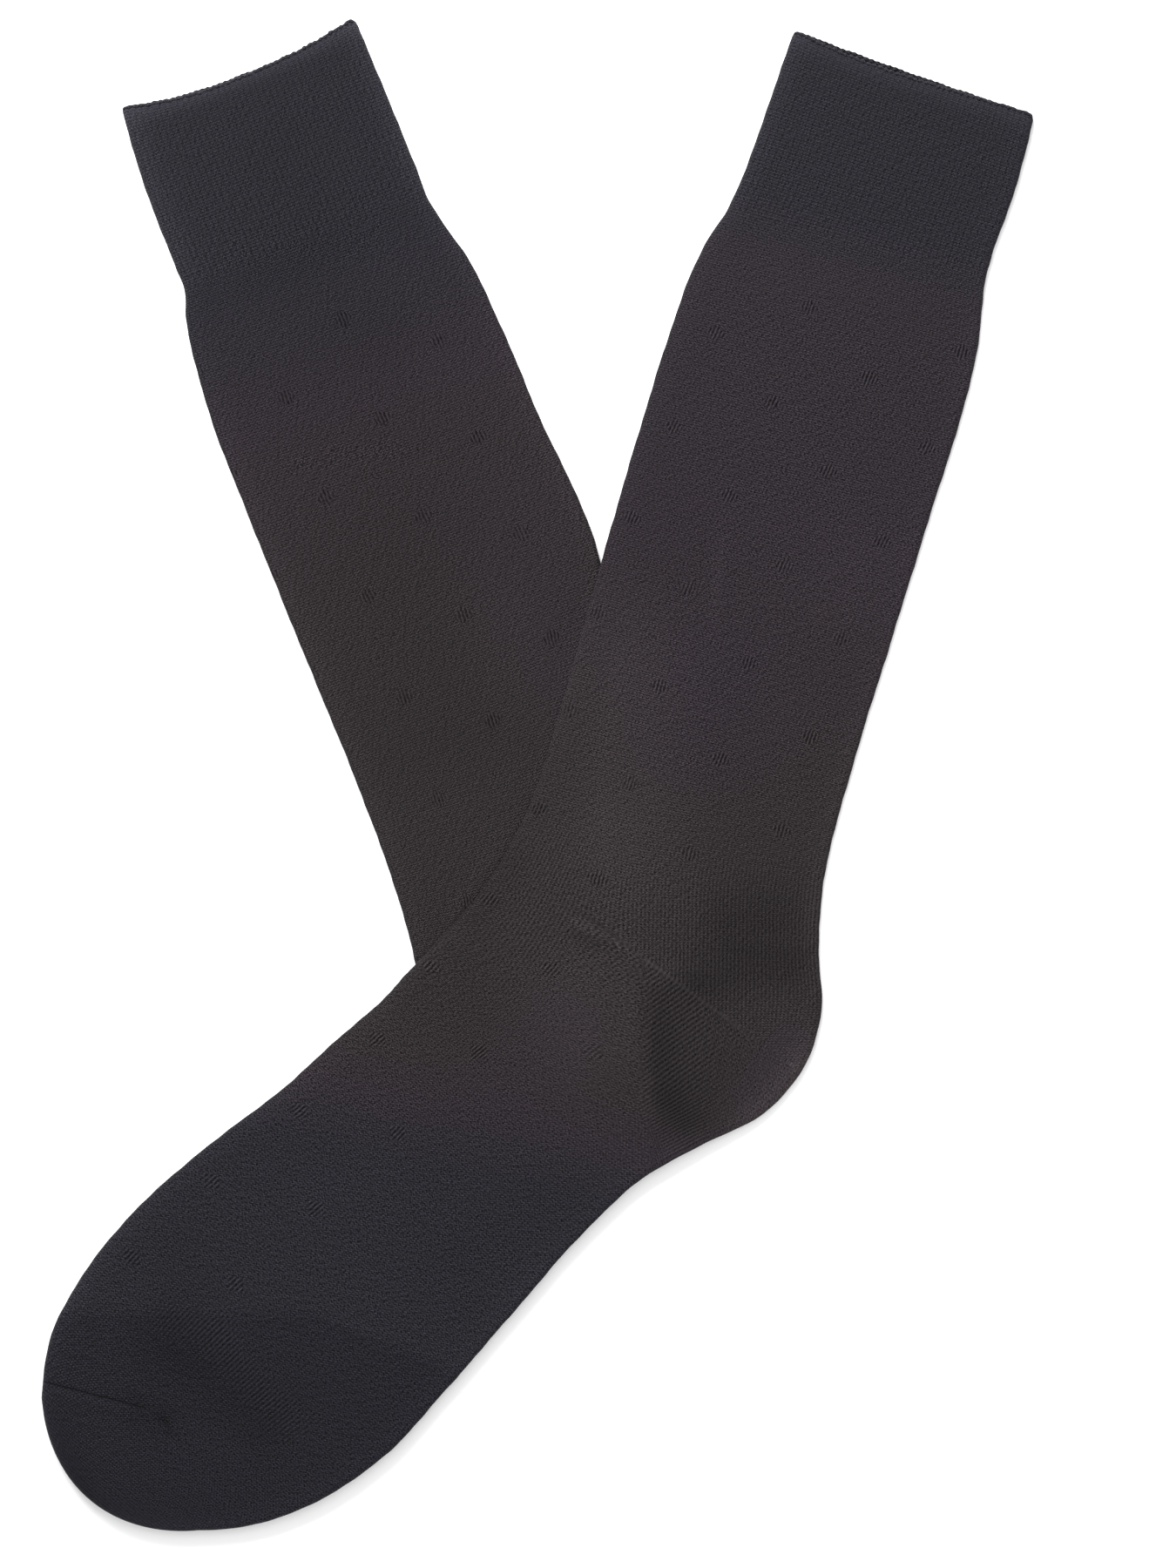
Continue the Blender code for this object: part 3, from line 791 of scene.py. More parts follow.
def knit_coordinates(sock, rings, share, knit):
    """(wale, course) of points at each ring and share of the way from instep to heel fold.

    The wale is a share of the stitches of one layer. Away from the heel it is the share that
    was asked for. At the heel the wales run straight down the leg to the gore line and straight
    on from it into the foot, at even distances from the back of the heel, and the larger of
    the two counts, with a turn between them that is sharp at the gore's start and softer
    further out. Below the gore line the courses of the heel pocket are counted back from it,
    as in a mirror.
    """
    wale = np.broadcast_to(share, (len(rings.row), share.shape[-1])).copy()
    course = np.repeat(course_numbers(sock, rings, knit)[:, None], wale.shape[1], axis=1)
    if not sock.heel:
        return wale, course

    heel = sock.heel
    from_middle = (wale - 0.5) * rings.width[:, None]
    points = rings.middle[:, None] + from_middle[..., None] * rings.across[:, None]
    pitch = knit.leg_course * sock.drawn_out / MM
    half_round = heel.pitch * knit.wales / 2
    gore, leg, foot = direction(heel.gore), direction(heel.leg), direction(heel.foot)
    apex, back = np.array([heel.x, heel.y]), np.array([heel.back, heel.y])
    level = np.array([leg[1], -leg[0]])

    top = int(np.searchsorted(rings.row, row_number(sock, "ankle")))
    at_apex = course[top, 0] - (apex - rings.middle[top]) @ -leg / pitch
    leg_wale = 1 + (points - back) @ -level / half_round
    leg_course = at_apex + (points - apex) @ leg / pitch
    reach, past = oblique(points, apex, gore, -foot)
    on_gore = apex + reach[..., None] * gore
    foot_wale = 1 + (on_gore - back) @ -level / half_round
    foot_course = at_apex + (on_gore - apex) @ leg / pitch - past / (knit.foot_course / MM)

    # weight is 0 in the leg and along the instep, and 1 at the heel; soften is how wide
    # the turn at the gore line is, in shares of a layer.
    row = rings.row[:, None]
    start = row_number(sock, "lower leg")
    tip = int(np.searchsorted(rings.row, row_number(sock, "tip of heel")))
    past_tip = smooth_step((rings.place - rings.place[tip]) / heel.fade)[:, None]
    weight = smooth_step((row - start) / 2) * smooth_step((wale - 0.2) / 0.3)
    soften = 0.002 + 0.08 * smooth_step((reach - 34) / 30)
    ahead = foot_wale - leg_wale
    turned = leg_wale + (ahead + np.sqrt(ahead**2 + soften**2)) / 2
    turned = wale + (turned - wale) * weight * (1 - past_tip)
    from_fold = (1 - wale) * rings.width[:, None]
    turned += (1 - turned[:, :1]) * (1 - smooth_step(from_fold / heel.ease))
    wale = turned
    pocket = (ahead > 0) & ((points - apex)[..., 0] > 0) & (row > start)
    leg_course = course + (leg_course - course) * weight
    above = (ahead <= 0) & (row < row_number(sock, "arch"))
    course = np.where(pocket, foot_course, np.where(above, leg_course, course))
    return wale, course


# --- Meshes ---------------------------------------------------------------------------------


def grid_faces(rows, around, first=0, flip=False):
    """Quads of a grid that closes on itself sideways, numbered from first on.

    On a grid of rings down a tube, clockwise in each as seen from its start, they face outward
    unless flipped.
    """
    grid = first + np.arange(rows * around).reshape(rows, around)
    beside = np.roll(grid, -1, axis=1)
    quads = np.stack([grid[:-1], beside[:-1], beside[1:], grid[1:]], axis=-1).reshape(-1, 4)
    return quads[:, ::-1] if flip else quads


def new_piece(name, points, quads, triangles=(), corner_uv=None):
    """A smooth mesh object from points in mm, with a UV for each corner of each face."""
    faces = [*np.asarray(quads).tolist(), *np.asarray(triangles).tolist()]
    mesh = bpy.data.meshes.new(name)
    mesh.from_pydata((np.asarray(points) * MM).tolist(), [], faces)
    if corner_uv is not None:
        layer = mesh.uv_layers.new(name="knit")
        layer.uv.foreach_set("vector", np.asarray(corner_uv, np.float32).ravel())
    mesh.shade_smooth()
    mesh.update()
    piece = bpy.data.objects.new(name, mesh)
    bpy.context.scene.collection.objects.link(piece)
    return piece


def point_attribute(piece, name, values):
    """Give each point of a piece a value, which its material reads by that name."""
    made = piece.data.attributes.new(name, "FLOAT", "POINT")
    made.data.foreach_set("value", np.asarray(values, np.float32).ravel())


def corner_values(values, flip=False):
    """A value for each corner of grid_faces, from a grid with one column more than the mesh."""
    corners = [values[:-1, :-1], values[:-1, 1:], values[1:, 1:], values[1:, :-1]]
    stacked = np.stack(corners, axis=-1).reshape(-1, 4)
    return stacked[:, ::-1] if flip else stacked


# --- What the knit is like from place to place ----------------------------------------------

# The values that the yarn's material reads off each point.
ZONES = ("stretch", "spots", "light", "warm", "cuff", "grain", "repeat", "drift")


def read_down(sock, table, row):
    """The columns of a table of named sections, in straight lines from each to the next."""
    marks = [(row_number(sock, name), *np.atleast_1d(value)) for name, value in table.items()]
    places, *columns = zip(*marks)
    return [np.interp(row, places, column) for column in columns]


def near_mouth(rings):
    """How near each ring is to the mouth: exp(-(distance / MOUTH_LIGHT_REACH)^2)."""
    return np.exp(-((rings.place[:, None] / MOUTH_LIGHT_REACH) ** 2))


def fold_light(sock, rings, share, row):
    """Painted light along the cloth's folds, as a share: a painted highlight for the sheen at
    a fold, less the painted shade of the turn under it.

    A fold's painted light falls off as exp(-(distance / FOLD_REACH)^2). From it goes the
    painted shade of the turn under the fold, exp(-(distance / FOLD_TURN_REACH)^2).
    """
    from_fold = (0.5 - np.abs(share - 0.5)) * rings.width[:, None]
    at_instep, at_heel, turn = read_down(sock, sock.fold, row)
    fold = np.where(share < 0.5, at_instep, at_heel)
    turn = FOLD_TURN * np.where(share < 0.5, turn, 1.0)
    light = fold * np.exp(-((from_fold / FOLD_REACH) ** 2))
    return light - turn * np.exp(-((from_fold / FOLD_TURN_REACH) ** 2))


def warmth_of(sock, flat, row, in_toe):
    """How warm the yarn looks, on the scale of the four blacks.

    It is its row's warmth and the tints, fading out over the line across the foot, and in the
    toe cap it goes down to the toe's black.
    """
    height, slope, reach = COOL_FOOT
    in_leg = smooth_step((flat[..., 1] - height - slope * flat[..., 0]) / reach + 0.5)
    warm = read_down(sock, sock.warmth, row)[0] + lines_sum(flat, sock.tint)
    return COOL_YARN + (1 - COOL_YARN) * np.clip(warm, 0, 1) * in_leg - COOL_YARN * in_toe


def grain_of(sock, rings, share, row, flat, stretched):
    """How uneven the yarn looks: its row's grain, times 1 and what the grain's lines add.

    wider is how far apart the rings lie at a point, over how far apart they lie in their
    middles. Where they open the grain falls off as a power of it, less so in stretched cloth.
    """
    grain = read_down(sock, GRAIN, row)[0] * (1 - MOUTH_SMOOTHER * near_mouth(rings))
    across = rings.across * rings.width[:, None]
    line = rings.middle[:, None] + (share - 0.5)[..., None] * across[:, None]
    between = np.linalg.norm(np.gradient(line, axis=0), axis=-1)
    middle = np.linalg.norm(np.gradient(rings.middle, axis=0), axis=-1)[:, None]
    wider = np.clip(between / middle, *RINGS_APART)
    loose = 1 - STRETCH_EVENS * np.minimum(stretched, 1)
    grain = grain * (1 + (wider**OPEN_POWER - 1) * loose)
    return grain * (1 + lines_sum(flat, GRAIN_LINES))


def heel_pocket(heel, flat):
    """How far each point lies in the heel pocket, from 0 to 1, and how far in its tip.

    The pocket is a fan round the start of the gore line, from a bearing of about -90 degrees
    to one of 34. The lower bearing turns by 8 degrees past a reach of 42 mm, and is soft over
    200 / (reach + 8) degrees; the upper one is soft over 20. Above the gore line, at -36, the
    fan is a quarter weaker. The tip lies right of x = 43 and below y = -60.
    """
    away = flat - np.array([heel.x, heel.y])
    bearing = np.degrees(np.arctan2(away[..., 1], away[..., 0]))
    reach = np.hypot(away[..., 0], away[..., 1])
    edge = -94 + 8 * smooth_step((reach - 42) / 14)
    begun = smooth_step((bearing - edge) / (200 / (reach + 8)))
    pocket = smooth_step((34 - bearing) / 20) * begun
    above_gore = smooth_step((bearing + 36) / 8)
    pocket = pocket * smooth_step((reach + 1) / 4) * (1 - 0.25 * above_gore)
    tip = smooth_step((flat[..., 0] - 43) / 14) * smooth_step((-60 - flat[..., 1]) / 14)
    return pocket, tip


def zone_values(sock, rings, share, points, knit):
    """What the knit is like at each point: stretched, spotted, ribbed, how light and how warm.

    in_toe, in_foot, sole and cuff are 1 in their zone and 0 out of it, with a smooth step
    between. The spots begin below the cuff and leave out the toe cap, the sole and the heel
    pocket. repeat counts their rows along the instep, where the courses of the foot go on from
    those of the leg; the rows slope a little across the sock.
    """
    flat = points[..., :2]
    row = np.broadcast_to(rings.row[:, None], share.shape)
    foot = row_number(sock, "front of heel")
    height, slope, bend, reach = TOE_CAP
    into_toe = height - slope * np.maximum(flat[..., 0] - bend, 0) - flat[..., 1]
    in_toe = smooth_step(into_toe / reach) * (row > foot)
    in_foot = smooth_step((row - foot + 2) / 3)
    sole = smooth_step((share - SOLE_BEGINS) * 12)
    cuff = smooth_step((row_number(sock, "foot of cuff") - row) * 4 + 0.5)

    stretched = np.clip(lines_sum(flat, sock.stretch), 0, MOST_STRETCH)
    below_cuff = row_number(sock, "below the cuff") + SPOTS_BEGIN
    spotted = smooth_step((row - below_cuff) * 2.5)
    spotted = spotted * (1 - in_toe) * (1 - in_foot * sole)
    repeat = course_numbers(sock, rings, knit, 0.25)[:, None] - sock.spot_start[1]
    repeat = (repeat + sock.rise * knit.wales / 2 * (share - 0.5)) / SPOT_ROW
    grain = grain_of(sock, rings, share, row, flat, stretched)
    if sock.heel:
        pocket, tip = heel_pocket(sock.heel, flat)
        stretched = np.maximum(stretched, pocket * (1 - TIP_SLACKER * tip))
        spotted = spotted * (1 - pocket)
    # light: the cloth's own tone, darker in the toe cap and the cuff, with painted light and
    # shade of the folds, the rim and the sock's light table.
    light = CLOTH_LIGHT - TOE_DARKER * in_toe - CUFF_DARKER * cuff
    light = light + fold_light(sock, rings, share, row) + sock.mouth.light * near_mouth(rings)
    return {
        "stretch": stretched,
        "spots": spotted,
        "light": light * (1 + lines_sum(flat, sock.light)),
        "warm": warmth_of(sock, flat, row, in_toe),
        "cuff": cuff,
        "grain": grain,
        "repeat": repeat,
        "drift": sock.drift * smooth_step((row - foot + 1) / 2),
    }


# --- The pieces -----------------------------------------------------------------------------

# A surface of a shell: its points; its quads and the triangles round its pole, each with the
# UV of their corners; what its knit is like at each point; and the UV of the points of its rim.
Surface = namedtuple("Surface", "points quads quad_uv fan fan_uv zone rim_uv")


def stitches_at(sock, rings, share, knit):
    """(wale, course) at each point of a surface, whose first column comes again at the end.

    They are read off an even grid of shares, in straight lines between its columns. The lower
    layer's wales count the other way from the heel fold, and the twist comes out down the leg.
    """
    columns = np.linspace(1, 0, KNIT_COLUMNS)
    wale, course = knit_coordinates(sock, rings, columns[None], knit)
    at = (1 - share) * (KNIT_COLUMNS - 1)
    low = np.clip(at.astype(int), 0, KNIT_COLUMNS - 2)
    part = at - low
    line = np.arange(len(share))[:, None]
    wale = wale[line, low] * (1 - part) + wale[line, low + 1] * part
    course = course[line, low] * (1 - part) + course[line, low + 1] * part
    layer = np.append(once_round().layer, -1.0)
    wale = wale * layer * knit.wales / 2
    first, last = TWIST_COURSES
    untwisted = smooth_step((course - first) / (last - first))
    return wale + sock.twist * (1 - untwisted), course


def quad_stitches(sock, rings, wale, course, knit, inner):
    """(wale, course) at each corner of a surface's quads.

    Across the edge of the heel pocket the courses jump, so a quad there takes its rings'.
    """
    ring_course = np.repeat(course_numbers(sock, rings, knit)[:, None], wale.shape[1], axis=1)
    courses = corner_values(course, inner)
    torn = np.ptp(courses, axis=1) > MOST_COURSES
    courses = np.where(torn[:, None], corner_values(ring_course, inner), courses)
    return np.stack([corner_values(wale, inner), courses], axis=-1)


def shell_surface(sock, inset_share, step, first, support, knit):
    """The outer or the inner surface of a sock's shell, its points numbered from first on.

    The last ring closes at a pole in its middle. Round a ring the stitches lie as far apart as
    the cloth goes: half the flat width, and then a quarter circle at each fold.
    """
    inner = inset_share > 0
    rings = rings_of(sock, step, sock.sections[-1].wall * inset_share)
    surface = surface_of(sock, rings, inset_share, support, knit)
    ring = once_round()
    count, around = surface.shape[:2]
    radius = np.minimum(rings.thick, rings.width)[:, None] / 2
    flat, bend = rings.width[:, None] / 2 - radius, radius * np.pi / 2
    spread = ring.flat * (flat + bend * ring.turned) / (flat + bend)
    share = 0.5 + 0.5 * np.concatenate([spread, spread[:, :1]], axis=1)

    wale, course = stitches_at(sock, rings, share, knit)
    quad_uv = quad_stitches(sock, rings, wale, course, knit, inner)
    pole = np.full(around, first + count * around)
    last = first + (count - 1) * around + np.arange(around)
    fan = np.stack([last, np.roll(last, -1), pole], axis=-1)
    fan_wale = np.stack([wale[-1, :-1], wale[-1, 1:], wale[-1, :-1]], axis=-1)
    fan_uv = np.stack([fan_wale, np.full_like(fan_wale, course[-1].mean())], axis=-1)
    if inner:
        fan, fan_uv = fan[:, ::-1], fan_uv[:, ::-1]

    zone = zone_values(sock, rings, share[:, :-1], surface, knit)
    if inner:
        # Painted light inside the rim, which lifts the inner surface out of the shade of the
        # tube.
        zone["light"] *= 1 + INSIDE_PAINTED_LIGHT * near_mouth(rings)
    return Surface(
        np.concatenate([surface.reshape(-1, 3), surface[-1].mean(axis=0)[None]]),
        grid_faces(count, around, first, inner),
        quad_uv.reshape(-1, 2),
        fan,
        fan_uv.reshape(-1, 2),
        {key: np.append(value.ravel(), value[-1].mean()) for key, value in zone.items()},
        np.stack([wale[0], course[0]], axis=-1),
    )


def build_sock(sock, support, knit):
    """One sock's shell, the outer and the inner surface joined at the mouth, and its rims."""
    outer = shell_surface(sock, 0.0, OUTER_STEP, 0, support, knit)
    start = len(outer.points)
    inner = shell_surface(sock, knit.wall_share, INNER_STEP, start, support, knit)
    around = len(inner.rim_uv) - 1
    outside, inside = np.arange(around), np.arange(around) + start
    rim = np.stack([np.roll(outside, -1), outside, inside, np.roll(inside, -1)], axis=-1)
    this, following = inner.rim_uv[:-1], inner.rim_uv[1:]
    rim_uv = np.stack([following, this, this, following], axis=1).reshape(-1, 2)
    piece = new_piece(
        sock.name,
        np.concatenate([outer.points, inner.points]),
        np.concatenate([outer.quads, inner.quads, rim]),
        np.concatenate([outer.fan, inner.fan]),
        np.concatenate([outer.quad_uv, inner.quad_uv, rim_uv, outer.fan_uv, inner.fan_uv]),
    )
    for key in ZONES:
        point_attribute(piece, key, np.concatenate([outer.zone[key], inner.zone[key]]))
    return piece, outer.points[:around], inner.points[:around]


def closed_tube(name, middle, radius, wale, course):
    """A closed tube along a closed line of points, its circle standing across the line.

    The circle lies on two directions: aside, level and square to the line, which is +X where
    the line goes straight up or down, and upright, square to both. Its faces are flipped to
    look outward. The UV is the wale along the tube and the course round it.
    """
    forward = np.roll(middle, -1, axis=0) - np.roll(middle, 1, axis=0)
    forward /= np.linalg.norm(forward, axis=1)[:, None]
    aside = np.cross(forward, (0.0, 0.0, 1.0))
    steep = np.linalg.norm(aside, axis=1)[:, None]
    aside = np.where(steep > 0.2, aside / np.maximum(steep, 1e-6), (1.0, 0.0, 0.0))
    upright = np.cross(aside, forward)
    turn = 2 * np.pi * np.arange(WELT_SIDES) / WELT_SIDES
    right, up = np.cos(turn)[None, :, None], np.sin(turn)[None, :, None]
    ring = right * aside[:, None] + up * upright[:, None]
    points = middle[:, None] + radius[:, None, None] * ring
    count = len(middle)
    faces = grid_faces(count, WELT_SIDES, flip=True)
    last = np.arange((count - 1) * WELT_SIDES, count * WELT_SIDES)
    first = np.arange(WELT_SIDES)
    closing = np.stack([last, np.roll(last, -1), np.roll(first, -1), first], axis=-1)
    quads = np.concatenate([faces, closing[:, ::-1]])
    across = np.arange(WELT_SIDES + 1) * course / WELT_SIDES
    along = np.concatenate([wale, [wale[0] + (wale[-1] - wale[0]) * count / (count - 1)]])
    grid_u = np.repeat(along[:, None], WELT_SIDES + 1, axis=1)
    grid_v = np.repeat(across[None], count + 1, axis=0)
    uv = np.stack([corner_values(grid_u, flip=True), corner_values(grid_v, flip=True)], axis=-1)
    return new_piece(name, points.reshape(-1, 3), quads, corner_uv=uv.reshape(-1, 2))


def build_welt(sock, outer_rim, inner_rim, knit):
    """The rolled edge of a cuff: a thin roll round its mouth, midway between the two rims.

    Its radius swells as the cosine of pi times the wale, once for each rib of two wales, and
    with short uneven waves. It is thinner round the folds, and never dips below the floor.
    """
    rim = (outer_rim + inner_rim) / 2
    closed = np.concatenate([rim, rim[:1]])
    place = np.concatenate([[0.0], np.cumsum(np.linalg.norm(np.diff(closed, axis=0), axis=1))])
    count = knit.wales * WELT_STEPS
    share = np.arange(count) / count
    along = share * place[-1]
    middle = np.stack([np.interp(along, place, closed[:, k]) for k in range(3)], axis=-1)
    wale = share * knit.wales
    tufts = TUFT_SWELL * edge_wave(along, RIM_WAVE_START, RIM_WAVES)
    swell = 1 + RIB_SWELL * np.cos(np.pi * wale) + tufts
    turned = once_round().turned
    thinner = np.interp(along, place, np.append(turned, turned[0]))
    radius = WELT_RADIUS * swell * (1 - WELT_THINNING * thinner)
    middle[:, 2] = np.maximum(middle[:, 2], radius)
    name = sock.name.replace("sock", "welt")
    return closed_tube(name, middle, radius, wale, WELT_COURSES)


# --- Materials ------------------------------------------------------------------------------


def node(tree, kind, *values, output=0, inputs=None, **settings):
    """Add a node, set its settings, give its inputs values or links, and return an output.

    kind is the node's type, or in capitals the operation of a maths node. values go to its
    inputs in their order, and inputs to those that it names.
    """
    if kind.isupper():
        kind, settings["operation"] = "Math", kind
    made = tree.nodes.new("ShaderNode" + kind)
    for name, value in settings.items():
        setattr(made, name, value)
    for key, value in [*enumerate(values), *(inputs or {}).items()]:
        if isinstance(value, bpy.types.NodeSocket):
            tree.links.new(value, made.inputs[key])
        else:
            made.inputs[key].default_value = value
    return made.outputs[output]


def uneven_yarn(make, wale, row):
    """How uneven the yarn is: its speck, how it differs from its neighbours, fibres, streak.

    Each half stitch has a random number, its speck, and differs by it from its neighbours. The
    fibres differ in the same way more finely. The streak is a noise drawn out along the
    courses, which get thicker and thinner along them.
    """

    def chance(across, down, beside=0.0, below=0.0):
        """A random number for each cell, of so many to a wale and to a course, or its next's."""
        column = make("FLOOR", make("MULTIPLY_ADD", wale, across, beside))
        line = make("FLOOR", make("MULTIPLY_ADD", row, down, below))
        cell = make("CombineXYZ", column, line)
        return make("TexWhiteNoise", inputs={"Vector": cell}, noise_dimensions="2D")

    def unlike_next(across, down, share):
        """A cell's own random number, and it less a share of the two next to it, 0 on average."""
        own = chance(across, down)
        next_two = make("ADD", chance(across, down, 1.0), chance(across, down, 0.0, 1.0))
        return own, make("SUBTRACT", own, make("MULTIPLY_ADD", next_two, share, 0.5 - share))

    speck, uneven = unlike_next(2.0, 1.0, 0.32)
    _, fibres = unlike_next(2.5, 1.7, 0.5)
    along = make("CombineXYZ", make("MULTIPLY", wale, 0.16), row)
    thickness = {"Vector": along, "Scale": 0.9, "Detail": 3.0, "Roughness": 0.7}
    streak = make("TexNoise", inputs=thickness, noise_dimensions="2D")
    return speck, uneven, fibres, streak


def tuck_spots(make, wale, zone, spot_start):
    """Tuck-stitch spots: small diamonds on a half-drop repeat, where rows give way to dashes.

    A spot is 1 less the way out of its middle, |across| / half width + |down| / half height,
    made steeper and held between 0 and 1. Some of the spots are fainter than others.
    """
    column = make("SUBTRACT", make("SUBTRACT", wale, spot_start), zone["drift"])
    column = make("DIVIDE", column, SPOT_COLUMN)
    number = make("FLOOR", make("ADD", column, 0.5))
    aside = make("ABSOLUTE", make("SUBTRACT", column, number))
    aside = make("MULTIPLY", aside, SPOT_COLUMN)
    drop = make("MULTIPLY", make("FLOORED_MODULO", number, 2.0), 0.5)
    repeat = make("ADD", zone["repeat"], drop)
    spot_row = make("FLOOR", make("ADD", repeat, 0.5))
    above = make("ABSOLUTE", make("SUBTRACT", repeat, spot_row))
    above = make("MULTIPLY", above, SPOT_ROW)
    out = make("DIVIDE", aside, SPOT_HALF_WIDTH)
    out = make("ADD", out, make("DIVIDE", above, SPOT_HALF_HEIGHT))
    inside = make("MULTIPLY", make("SUBTRACT", 1.0, out), SPOT_EDGE)
    which = make("CombineXYZ", number, spot_row)
    clear = make("TexWhiteNoise", inputs={"Vector": which}, noise_dimensions="2D")
    clear = make("MULTIPLY_ADD", clear, 1 - LEAST_SPOT, LEAST_SPOT)
    return make("MULTIPLY", make("Clamp", inside), make("MULTIPLY", zone["spots"], clear))


def seam_lines(make, here):
    """The seams' height at a place in the plane, and 1 away from them but 0 on their lines.

    Beside a line its height falls off evenly over the half width, and it fades at both ends.
    """
    seams, seam_away = 0.0, 1.0
    for seam in SEAMS:
        start, end = np.array([seam.x0, seam.y0]) * MM, np.array([seam.x1, seam.y1]) * MM
        length = np.hypot(*(end - start))
        forward = (*((end - start) / length), 0.0)
        sideways = (-forward[1], forward[0], 0.0)
        from_start = make("VectorMath", here, (*start, 0.0), operation="SUBTRACT")
        run, beside = [
            make("VectorMath", from_start, way, output="Value", operation="DOT_PRODUCT")
            for way in (forward, sideways)
        ]
        off = make("DIVIDE", make("ABSOLUTE", beside), seam.half_width * MM)
        begun = make("DIVIDE", run, SEAM_START * MM)
        left = make("DIVIDE", make("SUBTRACT", length, run), seam.fade * MM)
        within = make("Clamp", make("MINIMUM", begun, left))
        near = make("MULTIPLY", make("Clamp", make("SUBTRACT", 1.0, off)), within)
        seams = make("MULTIPLY_ADD", near, seam.height, seams)
        seam_away = make("MULTIPLY", seam_away, make("SUBTRACT", 1.0, near))
    return seams, seam_away


def cotton_knit(name, blacks, spot_start):
    """Fine knit of mercerised cotton, near-black.

    The yarn is smooth and lightly glossy, so the loops catch a soft light; between the wales
    the knit opens to dark lines, which a stretched heel or toe shows most. The UV map counts
    stitches, so in the leg a wale is 1.06 mm wide and a course 0.74 mm high. The blacks are
    the toe's, the cool one, the violet one and the warm one.
    """
    material = bpy.data.materials.new(name)
    material.use_nodes = True
    tree = material.node_tree
    shader = tree.nodes["Principled BSDF"]
    make = partial(node, tree)
    here = make("TexCoord", output="Object")
    wale = make("SeparateXYZ", make("UVMap", uv_map="knit"), output="X")
    course = wale.node.outputs["Y"]
    zone = {key: make("Attribute", output="Fac", attribute_name=key) for key in ZONES}

    # Loops: a wale is one stitch wide, and its legs slant by 0.45 of a course to the gap on
    # each side. A rib is two wales wide.
    slant = make("PINGPONG", wale, 0.5)
    row = make("MULTIPLY_ADD", slant, 0.9, course)
    wale_wave = make("COSINE", make("MULTIPLY", make("SUBTRACT", wale, 0.5), 2 * np.pi))
    rib_wave = make("COSINE", make("MULTIPLY", wale, np.pi))
    row_wave = make("COSINE", make("MULTIPLY", row, 2 * np.pi))

    speck, uneven, fibres, streak = uneven_yarn(make, wale, row)
    spot = tuck_spots(make, wale, zone, spot_start)
    seams, seam_away = seam_lines(make, here)

    # How strongly wales, ribs and rows show, from the kind of knit. The numbers are shares of
    # the yarn's shade, and the same waves make the bump.
    stretch, cuff = zone["stretch"], zone["cuff"]
    open_knit = make("ADD", make("MULTIPLY", stretch, 0.36), make("MULTIPLY", spot, 0.75))
    plain = make("SUBTRACT", 1.0, make("MAXIMUM", make("MULTIPLY", stretch, 0.85), spot))
    wales = make("MULTIPLY", wale_wave, make("ADD", open_knit, 0.07))
    ribs = make("MULTIPLY", make("MULTIPLY", rib_wave, cuff), 0.12)
    uneven_rows = make("MULTIPLY", plain, make("MULTIPLY_ADD", speck, 0.75, 0.08))
    uneven_rows = make("MULTIPLY", uneven_rows, make("MULTIPLY_ADD", cuff, -0.1, 1.0))
    rows = make("MULTIPLY", row_wave, uneven_rows)
    relief = make("ADD", make("ADD", wales, ribs), rows)
    uneven = make("MULTIPLY", uneven, make("MULTIPLY_ADD", stretch, -0.4, 0.85))
    uneven = make("ADD", uneven, make("MULTIPLY_ADD", streak, 0.12, -0.06))
    uneven = make("ADD", fibres, uneven)
    fabric = make("MULTIPLY", make("ADD", relief, uneven), zone["grain"])
    shade = make("ADD", make("MULTIPLY", fabric, seam_away), make("ADD", 1.0, seams))
    shade = make("MULTIPLY", shade, make("SUBTRACT", 1.0, make("MULTIPLY", spot, 0.16)))
    shade = make("MAXIMUM", shade, 0.1)

    # Colour: cool at the cuff and in the foot, warmer down the leg, with a slow mottling about
    # 45 mm across.
    mottle = make("TexNoise", inputs={"Vector": here, "Scale": 22.0, "Detail": 2.0})
    shade = make("MULTIPLY", shade, make("MULTIPLY_ADD", mottle, 0.10, 0.95))
    # zone light paints into the colour the light and shade of folds, creases, drapes and hollows,
    # with the darker tone of toe cap and cuff.
    shade = make("MULTIPLY", shade, zone["light"])
    yarn = make("ValToRGB", zone["warm"])
    stops = yarn.node.color_ramp.elements
    for place in (COOL_YARN, (1 + COOL_YARN) / 2):
        stops.new(place)
    for stop, black in zip(stops, blacks):
        stop.color = black
    colour = make("VectorMath", yarn, inputs={"Scale": shade}, operation="SCALE")
    tree.links.new(colour, shader.inputs["Base Color"])

    # Finish: loops up to a third of a mm high, and a soft gloss, a little stronger on them.
    height = make("ADD", make("ADD", relief, seams), make("MULTIPLY", uneven, 0.5))
    loops = {"Height": height, "Distance": 0.35 * MM, "Strength": 0.6}
    tree.links.new(make("Bump", inputs=loops), shader.inputs["Normal"])
    gloss = make("MULTIPLY_ADD", relief, -0.25, 0.62)
    tree.links.new(gloss, shader.inputs["Roughness"])
    shader.inputs["IOR"].default_value = 1.45
    shader.inputs["Specular IOR Level"].default_value = 0.08
    shader.inputs["Sheen Weight"].default_value = 0.05
    shader.inputs["Sheen Roughness"].default_value = 0.45
    shader.inputs["Sheen Tint"].default_value = hex_colour("#b9b2bd")
    return material


